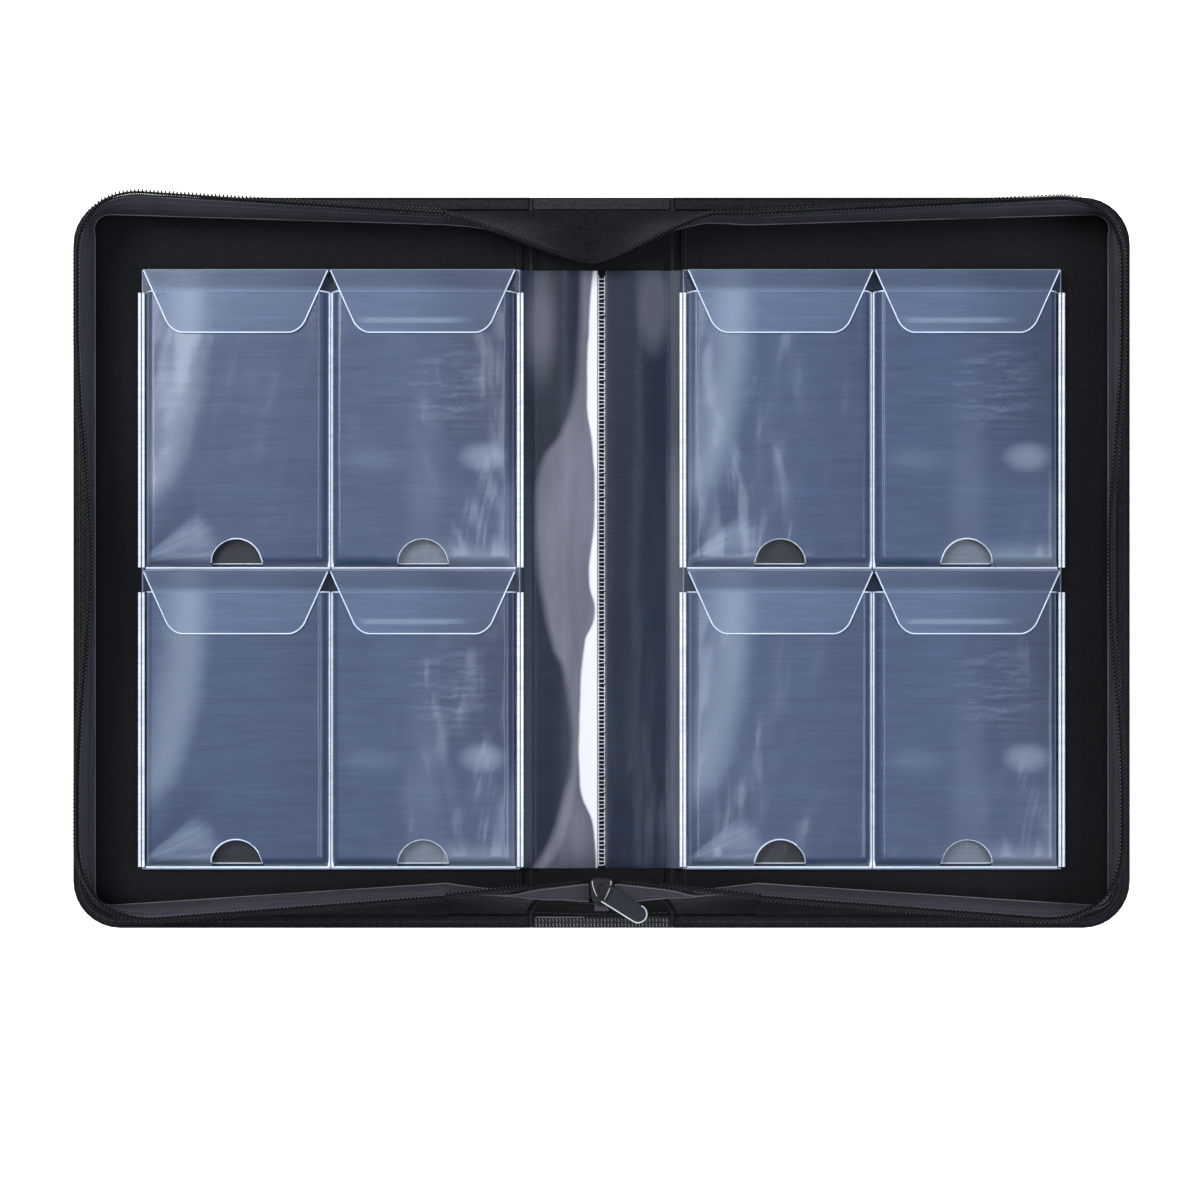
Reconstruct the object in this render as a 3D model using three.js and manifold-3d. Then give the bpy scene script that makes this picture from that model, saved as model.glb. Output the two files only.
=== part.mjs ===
// Zip-around binder for graded card slabs, lying open on its back. Sizes are in millimetres.
// +X runs right across the open covers, +Y towards the head edge and +Z up. The origin is on the
// table, under the middle of the open case. "Front" is the left cover and "back" the right one.
import * as THREE from "three";
import Module from "manifold-3d";
import { mergeVertices } from "three/addons/utils/BufferGeometryUtils.js";

const wasm = await Module();
wasm.setup();

// Pockets: each holds one graded slab. They set the size of the leaves, and the leaves that of the case.
const pocketWidth = 91;
const pocketLength = 146.5;
const pocketDepth = 6.4;
const frontFilm = 0.5;
const sideWeld = 1.35;
const footWeld = 2;
const headWeld = 2;
const pocketMouth = 9;
const pocketGap = 0.3;
const rowGap = 1;
const notchRadius = 13;
const notchSteps = 14;
const leafBorder = 1.5;
const leafHingeOffset = 5.5;
const columnPitch = pocketWidth + 2 * sideWeld + pocketGap;
const rowPitch = pocketLength + footWeld + headWeld + rowGap;
const leafWidth = 2 * columnPitch + 2 * leafBorder;
const leafHeight = 2 * rowPitch;

// Case: a spine between two stiffened covers, which hinge where skin and lining meet in a groove.
const footRoom = 31;
const headRoom = 38;
const sideRoom = 36.5;
const caseHeight = footRoom + leafHeight + headRoom;
const coverWidth = leafHingeOffset + leafWidth + sideRoom;
const hingeSpacing = 72;
const cornerRadius = 24;
const skinThickness = 1.2;
const boardThickness = 2.2;
const liningThickness = 0.6;
const boardInset = 9.9;
const hingeGroove = 5.3;
const liningInset = 1.4;
const cornerSteps = 8;
const leatherGap = 0.15;
const liningHingeGap = 0.6;
const pipingRadius = 1.1;
const fitGap = 0.3;

// Zip wall: a hem sewn flat round the edge, a gusset that stands up from it and leans in to a knee,
// a tape inside the gusset's top, and the coil along the tape's free edge.
const hemWidth = 6.2;
const gussetThickness = 0.8;
const tapeThickness = 0.6;
const hemBend = 1.4;
const kneeHeight = 19;
const gussetTop = 28.5;
const coilHeight = 2.5;
const coilWidth = 3.2;
const coilPitch = 3.6;
const closedCoilGap = 0.5;
const coilClearance = 0.8;
const wallHingeDistance = 42;
const hemHingeGap = 1.5;
const kneeInsetSide = 14.5;
const kneeInsetHead = [11, 16];
const kneeInsetFoot = [13, 24];
const topInsetSide = 10;
const topInsetHead = [2.5, 13];
const topInsetFoot = [6, 19];
const topCornerHead = 34;
const topCornerFoot = 42;
const sideWave = 7;
const waveHalfLength = 115;

// Gussets across the spine's ends: a deep inward V at the head and a sloping panel at the foot.
const headTip = { x: -5, inset: 36, z: 19 };
const headFoldReach = { left: 70, right: 56 };
const footRim = { inset: 22, z: 32 };
const footRimHalfWidth = 10;
const footPatchTop = 30;
const footPatchBottom = 38;

// Leaves: a core film with four raised slab pockets above it and flat, empty ones below.
const leafCorner = 3;
const coreFilm = 0.6;
const hiddenFilm = 0.5;
const lowerLeafThickness = 1;
const hiddenNotchRadius = 12;

// Flaps: film lids over the pocket mouths, hinged on the head weld.
const flapDepth = 32;
const flapThickness = 0.5;
const flapOverhang = 0.7;
const flapTaper = 14.7;
const flapCorner = 8;
const flapRootSetback = 0.8;

// Film margins and the sewn binding strip on the spine.
const bindingWidth = 3.6;
const bindingThickness = 1.6;
const marginFilm = 0.6;
const marginRamp = { width: 7, easeWidth: 3, easeRise: 0.6 };

// Zip end at the foot: slider, tape tongue, chain tail and pull tab.
const slider = { width: 11, tailWidth: 9.6, length: 11, plate: 1, channel: 3.1, wall: 0.975 };
const sliderRound = { nose: 2, tail: 1.5 };
const sliderInset = 30;
const sliderTravel = 3;
const sliderNeck = { width: 2.6, length: 3.2 };
const sliderSlit = 1.3;
const tongueWidth = 7;
const tongueLength = 8;
const tongueDrop = 13;
const tongueLean = THREE.MathUtils.degToRad(14);
const chainWidth = 5.2;
const chainThickness = 1.6;
const chainPitch = 2.2;
const chainTooth = { waist: 0.72, rise: [0.2, 0.35], fall: [0.75, 0.9] };
const bridge = { length: 6.4, opening: 4.4, width: 1, crown: 1, clear: 2.1, round: 1 };
const pullTab = { length: 25.5, width: 9, thickness: 1.8, slotLength: 4.1, slotHalfWidth: 3.3, bar: 1 };
const pullTabYaw = -32;

// Heights that follow from the layers.
const skinTop = skinThickness;
const boardTop = skinTop + boardThickness;
const liningTop = boardTop + liningThickness;
const hemBottom = skinTop + liningThickness;
const hemMiddle = hemBottom + gussetThickness / 2;
const hemTop = hemBottom + gussetThickness;
const hingeHeight = skinTop + liningThickness / 2;
const coilTop = hingeHeight + hingeSpacing / 2 - closedCoilGap / 2;
const coilMiddle = coilTop - coilHeight / 2;
const tapeTop = coilTop - coilHeight - coilClearance;
const lowerLeafBottom = liningTop + fitGap;
const hiddenFilmBottom = lowerLeafBottom + lowerLeafThickness + fitGap;
const coreBottom = hiddenFilmBottom + hiddenFilm;
const coreTop = coreBottom + coreFilm;
const pocketTop = coreTop + pocketDepth + frontFilm;
const flapBottom = pocketTop + fitGap;

// Places that follow from the sizes.
const wallFoot = { inset: hemWidth + hemBend, z: hemTop + hemBend };
const hingeX = hingeSpacing / 2;
const halfHeight = caseHeight / 2;
const leafFootEdge = footRoom - halfHeight;
const leafMiddle = leafFootEdge + leafHeight / 2;
const boardSpread = boardInset - fitGap;
const liningSpread = boardSpread - liningThickness;

const finishes = {
  leather: { color: 0x17181b, roughness: 0.62, metalness: 0 },
  board: { color: 0x6d6a64, roughness: 0.9, metalness: 0 },
  lining: { color: 0x16181b, roughness: 0.9, metalness: 0 },
  tape: { color: 0x2e3036, roughness: 0.85, metalness: 0 },
  coil: { color: 0x26272c, roughness: 0.45, metalness: 0 },
  film: { color: 0x9db3d8, roughness: 0.12, metalness: 0, transparent: true, opacity: 0.4 },
  binding: { color: 0x101114, roughness: 0.8, metalness: 0 },
  slider: { color: 0x1d1e22, roughness: 0.35, metalness: 0.8 },
  rubber: { color: 0x2b2f3a, roughness: 0.5, metalness: 0 },
};

function piece(name, geometry, finish) {
  const mesh = new THREE.Mesh(geometry, new THREE.MeshStandardMaterial(finishes[finish]));
  mesh.name = name;
  return mesh;
}

// Solid modelling helpers.
function toSolid(geometry) {
  const bare = geometry.clone();
  bare.deleteAttribute("normal");
  bare.deleteAttribute("uv");
  const merged = mergeVertices(bare, 1e-4);
  return new wasm.Manifold(new wasm.Mesh({
    numProp: 3,
    vertProperties: new Float32Array(merged.attributes.position.array),
    triVerts: new Uint32Array(merged.index.array),
  }));
}

function toGeometry(solid) {
  const mesh = solid.getMesh();
  const geometry = new THREE.BufferGeometry();
  geometry.setAttribute("position", new THREE.BufferAttribute(new Float32Array(mesh.vertProperties), 3));
  geometry.setIndex(new THREE.BufferAttribute(new Uint32Array(mesh.triVerts), 1));
  return geometry;
}

function box(x, y, z) {
  const geometry = new THREE.BoxGeometry(x[1] - x[0], y[1] - y[0], z[1] - z[0]);
  return geometry.translate((x[0] + x[1]) / 2, (y[0] + y[1]) / 2, (z[0] + z[1]) / 2);
}

function slab(shape, bottom, top, curveSegments = cornerSteps) {
  const geometry = new THREE.ExtrudeGeometry(shape, {
    depth: top - bottom,
    bevelEnabled: false,
    curveSegments,
  });
  return geometry.translate(0, 0, bottom);
}

function signedVolume(positions, index) {
  const [a, b, c] = [new THREE.Vector3(), new THREE.Vector3(), new THREE.Vector3()];
  let volume = 0;
  for (let i = 0; i < index.length; i += 3) {
    a.fromArray(positions, 3 * index[i]);
    b.fromArray(positions, 3 * index[i + 1]);
    c.fromArray(positions, 3 * index[i + 2]);
    volume += a.dot(b.cross(c)) / 6;
  }
  return volume;
}

// A closed solid between two sheets of points: two faces, two long edges and two end caps.
function sheetSolid(sideA, sideB) {
  const rows = sideA.length;
  const columns = sideA[0].length;
  const positions = [sideA, sideB].flat(2).flatMap((point) => [point.x, point.y, point.z]);
  const at = (side, row, column) => (side * rows + row) * columns + column;
  const index = [];
  const quad = (a, b, c, d) => index.push(a, b, c, a, c, d);
  const endRow = rows - 1;
  const endColumn = columns - 1;
  for (let i = 0; i < endRow; i += 1) {
    for (let j = 0; j < endColumn; j += 1) {
      quad(at(0, i, j), at(0, i + 1, j), at(0, i + 1, j + 1), at(0, i, j + 1));
      quad(at(1, i, j), at(1, i, j + 1), at(1, i + 1, j + 1), at(1, i + 1, j));
    }
    quad(at(0, i, 0), at(1, i, 0), at(1, i + 1, 0), at(0, i + 1, 0));
    quad(at(0, i, endColumn), at(0, i + 1, endColumn), at(1, i + 1, endColumn), at(1, i, endColumn));
  }
  for (let j = 0; j < endColumn; j += 1) {
    quad(at(0, 0, j), at(0, 0, j + 1), at(1, 0, j + 1), at(1, 0, j));
    quad(at(0, endRow, j), at(1, endRow, j), at(1, endRow, j + 1), at(0, endRow, j + 1));
  }
  if (signedVolume(positions, index) < 0) {
    index.reverse();
  }
  const geometry = new THREE.BufferGeometry();
  geometry.setAttribute("position", new THREE.Float32BufferAttribute(positions, 3));
  geometry.setIndex(index);
  return geometry;
}

const mix = (a, b, share) => a + (b - a) * share;
const clamp01 = (value) => Math.min(1, Math.max(0, value));
const smooth = (value) => clamp01(value) ** 2 * (3 - 2 * clamp01(value));

// One cover is drawn with x measured from its hinge line. Its outline has rounded outer corners.
function coverOutline(inset, hingeGap) {
  const radius = Math.max(cornerRadius - inset, 1);
  const right = coverWidth - inset;
  const top = halfHeight - inset;
  const shape = new THREE.Shape();
  shape.moveTo(hingeGap, -top);
  shape.lineTo(right - radius, -top);
  shape.absarc(right - radius, -top + radius, radius, -Math.PI / 2, 0, false);
  shape.lineTo(right, top - radius);
  shape.absarc(right - radius, top - radius, radius, 0, Math.PI / 2, false);
  shape.lineTo(hingeGap, top);
  shape.closePath();
  return shape;
}

// The cover's edge as a path: from the hinge along the head, round the outer side, back along the foot.
const headRun = coverWidth - cornerRadius;
const arcRun = (Math.PI / 2) * cornerRadius;
const sideRun = caseHeight - 2 * cornerRadius;
const edgeLength = 2 * headRun + 2 * arcRun + sideRun;

function edgeAt(t) {
  const corner = new THREE.Vector2(coverWidth - cornerRadius, halfHeight - cornerRadius);
  if (t > edgeLength / 2) {
    const mirror = edgeAt(edgeLength - t);
    const normal = new THREE.Vector2(mirror.normal.x, -mirror.normal.y);
    return { ...mirror, y: -mirror.y, normal, foot: true };
  }
  if (t < headRun) {
    return { x: t, y: halfHeight, normal: new THREE.Vector2(0, 1), foot: false };
  }
  if (t < headRun + arcRun) {
    const angle = Math.PI / 2 - (t - headRun) / cornerRadius;
    const normal = new THREE.Vector2(Math.cos(angle), Math.sin(angle));
    return {
      x: corner.x + cornerRadius * normal.x,
      y: corner.y + cornerRadius * normal.y,
      normal,
      foot: false,
    };
  }
  const y = corner.y - (t - headRun - arcRun);
  return { x: coverWidth, y, normal: new THREE.Vector2(1, 0), foot: false };
}

// How far in from the edge the wall stands: along head and foot it leans in towards the spine, and
// along the side it bows in gently about the middle.
function straightInsets(edge, side, head, foot, wave) {
  const bow = Math.min(1, Math.abs(edge.y) / waveHalfLength);
  const run = edge.foot ? foot : head;
  const towardsSpine = 1 - clamp01((edge.x - wallHingeDistance) / (headRun - wallHingeDistance));
  return {
    side: side + wave * (0.5 + 0.5 * Math.cos(Math.PI * bow)),
    end: mix(run[0], run[1], towardsSpine),
  };
}

function kneeInset(edge) {
  const inset = straightInsets(edge, kneeInsetSide, kneeInsetHead, kneeInsetFoot, 0);
  return mix(inset.side, inset.end, smooth(Math.abs(edge.normal.y)));
}

// The wall's top turns the corner on a wider arc than the cover. This is the way in to it along the
// edge's normal, by the arc or by the straight that the way meets first.
function topInset(edge) {
  const inset = straightInsets(edge, topInsetSide, topInsetHead, topInsetFoot, sideWave);
  const radius = edge.foot ? topCornerFoot : topCornerHead;
  const normal = { x: edge.normal.x, y: Math.abs(edge.normal.y) };
  const from = {
    x: edge.x - (coverWidth - inset.side - radius),
    y: Math.abs(edge.y) - (halfHeight - inset.end - radius),
  };
  const along = from.x * normal.x + from.y * normal.y;
  const reach = radius ** 2 + along ** 2 - from.x ** 2 - from.y ** 2;
  const toArc = along - Math.sqrt(Math.max(reach, 0));
  if (from.x - toArc * normal.x < 0) {
    return (from.y - radius) / normal.y;
  }
  if (from.y - toArc * normal.y < 0) {
    return (from.x - radius) / normal.x;
  }
  return toArc;
}

function wallInset(edge, z) {
  if (z < kneeHeight) {
    const climb = (z - wallFoot.z) / (kneeHeight - wallFoot.z);
    return mix(wallFoot.inset, kneeInset(edge), Math.sin((Math.PI / 2) * climb));
  }
  const rise = (z - kneeHeight) / (coilTop - kneeHeight);
  return mix(kneeInset(edge), topInset(edge), 1 - Math.cos((Math.PI / 2) * rise));
}

// Sections are lists of { inset, z } points. A section is offset along its own normal, which points
// inwards on the wall and down under the hem.
function offsetSection(section, distance) {
  return section.map((point, i) => {
    const before = section[Math.max(i - 1, 0)];
    const after = section[Math.min(i + 1, section.length - 1)];
    const run = after.inset - before.inset;
    const rise = after.z - before.z;
    const length = Math.hypot(run, rise);
    return { inset: point.inset + (distance * rise) / length, z: point.z - (distance * run) / length };
  });
}

function placeSection(edge, section) {
  return section.map(({ inset, z }) => new THREE.Vector3(
    edge.x - edge.normal.x * inset,
    edge.y - edge.normal.y * inset,
    z,
  ));
}

// A sheet with constant thickness along a run of edges. Neighbouring layers share one section, so that
// they keep their gap, and each takes its own range of the section's points.
function sheetAlong(edges, sectionAt, layer) {
  const side = (distance) => edges.map((edge) => (
    placeSection(edge, offsetSection(sectionAt(edge), distance).slice(layer.first, layer.last + 1))
  ));
  return sheetSolid(side(layer.from), side(layer.to));
}

const tapeInside = gussetThickness / 2 + fitGap;
const gussetLayer = { from: -gussetThickness / 2, to: gussetThickness / 2 };
const tapeLayer = { from: tapeInside, to: tapeInside + tapeThickness };

// Stations along the edge path: closer round the corners than on the straights.
function wallStations() {
  const runs = [
    [wallHingeDistance, headRun, 7],
    [headRun, headRun + arcRun, cornerSteps],
    [headRun + arcRun, headRun + arcRun + sideRun, 14],
    [headRun + arcRun + sideRun, edgeLength - headRun, cornerSteps],
    [edgeLength - headRun, edgeLength - wallHingeDistance, 7],
  ];
  const stations = runs.flatMap(([start, end, steps]) => (
    Array.from({ length: steps }, (_, i) => mix(start, end, i / steps))
  ));
  stations.push(edgeLength - wallHingeDistance);
  return stations.map(edgeAt);
}

const wallLevels = [
  wallFoot.z,
  mix(wallFoot.z, kneeHeight, 0.4),
  kneeHeight,
  mix(kneeHeight, gussetTop, 0.5),
  gussetTop,
  tapeTop,
];

// Points 0 and 1 are the hem, 2 to 6 the gusset and 4 to 7 the tape.
function wallSection(edge) {
  const hem = [{ inset: liningInset, z: hemMiddle }, { inset: hemWidth, z: hemMiddle }];
  return [...hem, ...wallLevels.map((z) => ({ inset: wallInset(edge, z), z }))];
}

// Beside the spine the wall stops and only its hem runs on, with a low lip.
const hemLip = 0.01;

function hemSection(edge) {
  const root = { inset: hemWidth, z: hemMiddle };
  return wallSection(edge).map((point, i) => (i < 2 ? point : {
    inset: mix(root.inset, point.inset, hemLip * i),
    z: mix(root.z, point.z, hemLip * i),
  }));
}

function coverGusset() {
  const lipEnd = wallHingeDistance - fitGap;
  const startHem = [hemHingeGap, lipEnd].map(edgeAt);
  const endHem = [edgeLength - lipEnd, edgeLength - hemHingeGap].map(edgeAt);
  const isHem = (edge) => startHem.includes(edge) || endHem.includes(edge);
  const section = (edge) => (isHem(edge) ? hemSection(edge) : wallSection(edge));
  const edges = [...startHem, ...wallStations(), ...endHem];
  return sheetAlong(edges, section, { ...gussetLayer, first: 0, last: 6 });
}

function coverTape() {
  return sheetAlong(wallStations(), wallSection, { ...tapeLayer, first: 4, last: 7 });
}

// The coil: a bead that swells and narrows once a pitch, evenly spaced along its own curve.
function coilStations(phase) {
  const point = (t) => {
    const edge = edgeAt(t);
    return placeSection(edge, [{ inset: wallInset(edge, coilMiddle), z: coilMiddle }])[0];
  };
  const end = edgeLength - wallHingeDistance;
  const step = 0.5;
  const stations = [];
  let next = phase;
  let travelled = 0;
  let here = point(wallHingeDistance);
  for (let t = wallHingeDistance; t < end - step; t += step) {
    const ahead = point(t + step);
    const length = here.distanceTo(ahead);
    while (next <= travelled + length) {
      stations.push(t + (step * (next - travelled)) / length);
      next += coilPitch / 2;
    }
    travelled += length;
    here = ahead;
  }
  return stations;
}

function coverCoil(phase) {
  const middle = tapeInside + tapeThickness / 2;
  const ring = (edge, swell) => {
    const inset = wallInset(edge, coilMiddle) + middle;
    const halfWidth = (coilWidth / 2) * swell.width;
    const halfHeightHere = (coilHeight / 2) * swell.height;
    const corners = [[-1, -1], [-1, 1], [1, -1], [1, 1]].map(([across, up]) => ({
      inset: inset + across * halfWidth,
      z: coilMiddle + up * halfHeightHere,
    }));
    return placeSection(edge, corners);
  };
  const rings = coilStations(phase).map((t, i) => (
    ring(edgeAt(t), i % 2 === 0 ? { width: 1, height: 1 } : { width: 0.5, height: 0.62 })
  ));
  return sheetSolid(rings.map((points) => points.slice(0, 2)), rings.map((points) => points.slice(2)));
}

// Half-round piping along the free edge of skin, lining and hem.
function coverPiping() {
  const arcSteps = 4;
  const bottom = fitGap;
  const middle = (hemTop + bottom) / 2;
  const rise = (hemTop - bottom) / 2;
  const section = Array.from({ length: arcSteps + 1 }, (_, i) => {
    const angle = Math.PI * (i / arcSteps - 0.5);
    return { inset: pipingRadius * (1 - Math.cos(angle)), z: middle + rise * Math.sin(angle) };
  });
  const back = section.map(({ z }) => ({ inset: pipingRadius, z }));
  const start = leatherGap;
  const stations = [0, 1 / 3, 2 / 3].map((share) => mix(start, headRun, share));
  const corner = spread(headRun, headRun + arcRun, cornerSteps);
  const half = [...stations, ...corner];
  const all = [...half, ...half.map((t) => edgeLength - t).reverse()];
  const edges = all.map(edgeAt);
  return sheetSolid(
    edges.map((edge) => placeSection(edge, section)),
    edges.map((edge) => placeSection(edge, back)),
  );
}

function coverLining() {
  const rim = toSolid(slab(coverOutline(liningInset, liningHingeGap), skinTop, hemBottom));
  const raised = toSolid(slab(
    coverOutline(liningSpread, hingeGroove - fitGap - liningThickness),
    skinTop,
    liningTop,
  ));
  const pocket = toSolid(slab(coverOutline(boardSpread, hingeGroove - fitGap), skinTop - 1, boardTop));
  return toGeometry(rim.add(raised).subtract(pocket));
}

function makeCover(side, coilPhase) {
  const cover = new THREE.Group();
  const skinInset = pipingRadius + leatherGap;
  cover.add(
    piece(`${side}_cover_skin`, slab(coverOutline(skinInset, leatherGap), 0, skinTop), "leather"),
    piece(`${side}_cover_board`, slab(coverOutline(boardInset, hingeGroove), skinTop, boardTop), "board"),
    piece(`${side}_cover_lining`, coverLining(), "lining"),
    piece(`${side}_cover_piping`, coverPiping(), "leather"),
    piece(`${side}_zip_gusset`, coverGusset(), "leather"),
    piece(`${side}_zip_tape`, coverTape(), "tape"),
    piece(`${side}_zip_coil`, coverCoil(coilPhase), "coil"),
  );
  return cover;
}

// Spine, between the hinge lines.
function spineBox(sideGap, endInset, bottom, top) {
  const x = hingeX - sideGap;
  const y = halfHeight - endInset;
  return box([-x, x], [-y, y], [bottom, top]);
}

function spineLining() {
  const rim = toSolid(spineBox(liningHingeGap, liningInset, skinTop, hemBottom));
  const raisedSide = hingeGroove - fitGap - liningThickness;
  const raised = toSolid(spineBox(raisedSide, liningSpread, skinTop, liningTop));
  const pocket = toSolid(spineBox(hingeGroove - fitGap, boardSpread, skinTop - 1, boardTop));
  return toGeometry(rim.add(raised).subtract(pocket));
}

function spineHem(end) {
  const x = hingeX - hemHingeGap;
  const y = [end * (halfHeight - liningInset), end * (halfHeight - hemWidth)].sort((a, b) => a - b);
  return box([-x, x], y, [hemBottom, hemTop]);
}

// Gussets across the spine's ends. Each is a sheet whose section changes along X, from the cover
// wall's section at both ends to the folded one at the middle.
const foldShares = [0, 0.3, 0.5, 0.66, 0.83, 1];

function endEdge(x, end) {
  return { x, y: end * halfHeight, normal: new THREE.Vector2(0, end), foot: end < 0 };
}

function wallEndSection(end) {
  const edge = edgeAt(end > 0 ? wallHingeDistance : edgeLength - wallHingeDistance);
  return wallLevels.map((z, i) => ({ inset: wallInset(edge, z), z: i === 0 ? z + fitGap : z }));
}

function foldedSection(end) {
  const rim = end > 0 ? headTip : footRim;
  const start = { inset: wallFoot.inset, z: wallFoot.z + fitGap };
  return foldShares.map((share) => ({
    inset: mix(start.inset, rim.inset, share),
    z: mix(start.z, rim.z, share),
  }));
}

const gussetReach = hingeX + wallHingeDistance - 2 * fitGap;

function foldShare(x, end) {
  if (end > 0) {
    const reach = x < headTip.x ? headFoldReach.left : headFoldReach.right;
    return 1 - clamp01(Math.abs(x - headTip.x) / reach);
  }
  return 1 - clamp01((Math.abs(x) - footRimHalfWidth) / (gussetReach - footRimHalfWidth));
}

function endSection(x, end) {
  const share = foldShare(x, end);
  const folded = foldedSection(end);
  return wallEndSection(end).map((point, i) => ({
    inset: mix(point.inset, folded[i].inset, share),
    z: mix(point.z, folded[i].z, share),
  }));
}

function spread(from, to, steps) {
  return Array.from({ length: steps + 1 }, (_, i) => mix(from, to, i / steps));
}

function headSheet(layer) {
  const [left, right] = [headTip.x - headFoldReach.left, headTip.x + headFoldReach.right];
  const folded = [...spread(left, headTip.x, 8), ...spread(headTip.x, right, 8).slice(1)];
  const xs = [-gussetReach, ...folded, gussetReach];
  return sheetAlong(xs.map((x) => endEdge(x, 1)), (edge) => endSection(edge.x, 1), layer);
}

function footSheet(xs, layer) {
  return sheetAlong(xs.map((x) => endEdge(x, -1)), (edge) => endSection(edge.x, -1), layer);
}

function footGusset() {
  const xs = [...spread(-gussetReach, -footRimHalfWidth, 7), ...spread(footRimHalfWidth, gussetReach, 7)];
  return footSheet(xs, { ...gussetLayer, first: 0, last: 5 });
}

function footTape(side) {
  const ends = [side * footRimHalfWidth, side * gussetReach].sort((a, b) => a - b);
  return footSheet(spread(ends[0], ends[1], 7), { ...tapeLayer, first: 3, last: 5 });
}

// Reinforcing patch on the foot gusset's outer face, wider at the hem than at the rim.
function footPatch() {
  const outside = gussetThickness / 2 + fitGap;
  const halfWidths = foldShares.map((share) => mix(footPatchBottom, footPatchTop, share));
  const side = (distance) => spread(-1, 1, 8).map((across) => halfWidths.map((halfWidth, level) => {
    const x = across * halfWidth;
    const section = offsetSection(endSection(x, -1), distance);
    return placeSection(endEdge(x, -1), [section[level]])[0];
  }));
  return sheetSolid(side(-outside), side(-outside - tapeThickness));
}

// Film margins: they lie on the spine and rise to the leaves' welded edges.
function marginSheet() {
  const rest = liningTop + fitGap;
  const start = bindingWidth / 2 + fitGap;
  const end = hingeX + leafHingeOffset - fitGap;
  const foot = end - marginRamp.width;
  const bend = foot + marginRamp.easeWidth;
  const profile = [
    [start, rest],
    [foot, rest],
    [bend, mix(rest, coreBottom, marginRamp.easeRise)],
    [end, coreBottom],
  ];
  const shape = new THREE.Shape();
  profile.forEach(([x, z], i) => (i === 0 ? shape.moveTo(x, z) : shape.lineTo(x, z)));
  [...profile].reverse().forEach(([x, z]) => shape.lineTo(x, z + marginFilm));
  shape.closePath();
  const geometry = new THREE.ExtrudeGeometry(shape, { depth: leafHeight, bevelEnabled: false });
  return geometry.rotateX(Math.PI / 2).translate(0, leafMiddle + leafHeight / 2, 0);
}

function makeSpine() {
  const spine = new THREE.Group();
  const backMargin = piece("back_margin_film", marginSheet(), "film");
  const frontMargin = piece("front_margin_film", marginSheet(), "film");
  frontMargin.scale.x = -1;
  const bindingY = [leafFootEdge, leafFootEdge + leafHeight];
  spine.add(
    piece("spine_skin", spineBox(leatherGap, 0, 0, skinTop), "leather"),
    piece("spine_board", spineBox(hingeGroove, boardInset, skinTop, boardTop), "board"),
    piece("spine_lining", spineLining(), "lining"),
    piece("head_hem", spineHem(1), "leather"),
    piece("foot_hem", spineHem(-1), "leather"),
    piece("head_gusset", headSheet({ ...gussetLayer, first: 0, last: 5 }), "leather"),
    piece("head_zip_tape", headSheet({ ...tapeLayer, first: 3, last: 5 }), "tape"),
    piece("foot_gusset", footGusset(), "leather"),
    piece("foot_patch", footPatch(), "leather"),
    piece("front_foot_tape", footTape(-1), "tape"),
    piece("back_foot_tape", footTape(1), "tape"),
    piece(
      "binding_strip",
      box([-bindingWidth / 2, bindingWidth / 2], bindingY, [liningTop, liningTop + bindingThickness]),
      "binding",
    ),
    frontMargin,
    backMargin,
  );
  return spine;
}

// Leaves, drawn with x measured from the leaf's welded inner edge.
function leafSheet(bottom, top) {
  const shape = new THREE.Shape();
  const [left, right] = [0, leafWidth];
  const [foot, head] = [leafFootEdge, leafFootEdge + leafHeight];
  shape.moveTo(left, foot);
  shape.lineTo(right - leafCorner, foot);
  shape.absarc(right - leafCorner, foot + leafCorner, leafCorner, -Math.PI / 2, 0, false);
  shape.lineTo(right, head - leafCorner);
  shape.absarc(right - leafCorner, head - leafCorner, leafCorner, 0, Math.PI / 2, false);
  shape.lineTo(left, head);
  shape.closePath();
  return slab(shape, bottom, top, 4);
}

// A half-round thumb notch cutter at the foot of a pocket.
function thumbNotch(place, radius, bottom, top) {
  const shape = new THREE.Shape();
  shape.absarc(place.x, place.foot + footWeld, radius, 0, Math.PI, false);
  shape.closePath();
  return toSolid(slab(shape, bottom, top, notchSteps));
}

// The flat, empty pockets on the leaf's underside show only their thumb notches.
function hiddenPockets() {
  const cutTop = coreBottom + 1;
  const notches = pocketPlaces().map((place) => (
    thumbNotch(place, hiddenNotchRadius, hiddenFilmBottom - 1, cutTop)
  ));
  const film = toSolid(leafSheet(hiddenFilmBottom, coreBottom));
  return toGeometry(notches.reduce((rest, notch) => rest.subtract(notch), film));
}

function pocketPlaces() {
  const middle = leafWidth / 2;
  return ["upper", "lower"].flatMap((row) => ["inner", "outer"].map((column) => ({
    name: `${row}_${column}`,
    x: middle + (column === "inner" ? -1 : 1) * (columnPitch / 2),
    foot: leafFootEdge + (row === "upper" ? rowPitch : 0) + rowGap / 2,
  })));
}

// A raised pocket: four weld walls, and a front film that stops short of the head weld to leave the
// mouth and has a half-round thumb notch at its foot.
function pocket(place) {
  const outerHalf = pocketWidth / 2 + sideWeld;
  const head = place.foot + footWeld + pocketLength + headWeld;
  const innerFoot = place.foot + footWeld;
  const innerHead = head - headWeld;
  const innerX = [place.x - pocketWidth / 2, place.x + pocketWidth / 2];
  const outerX = [place.x - outerHalf, place.x + outerHalf];
  const body = toSolid(box(outerX, [place.foot, head], [coreTop, pocketTop]));
  const hollow = toSolid(box(innerX, [innerFoot, innerHead], [coreTop - 1, coreTop + pocketDepth]));
  const mouth = toSolid(box(innerX, [innerHead - pocketMouth, innerHead], [coreTop, pocketTop + 1]));
  const notch = thumbNotch(place, notchRadius, coreTop, pocketTop + 1);
  return toGeometry(body.subtract(hollow).subtract(mouth).subtract(notch));
}

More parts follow.
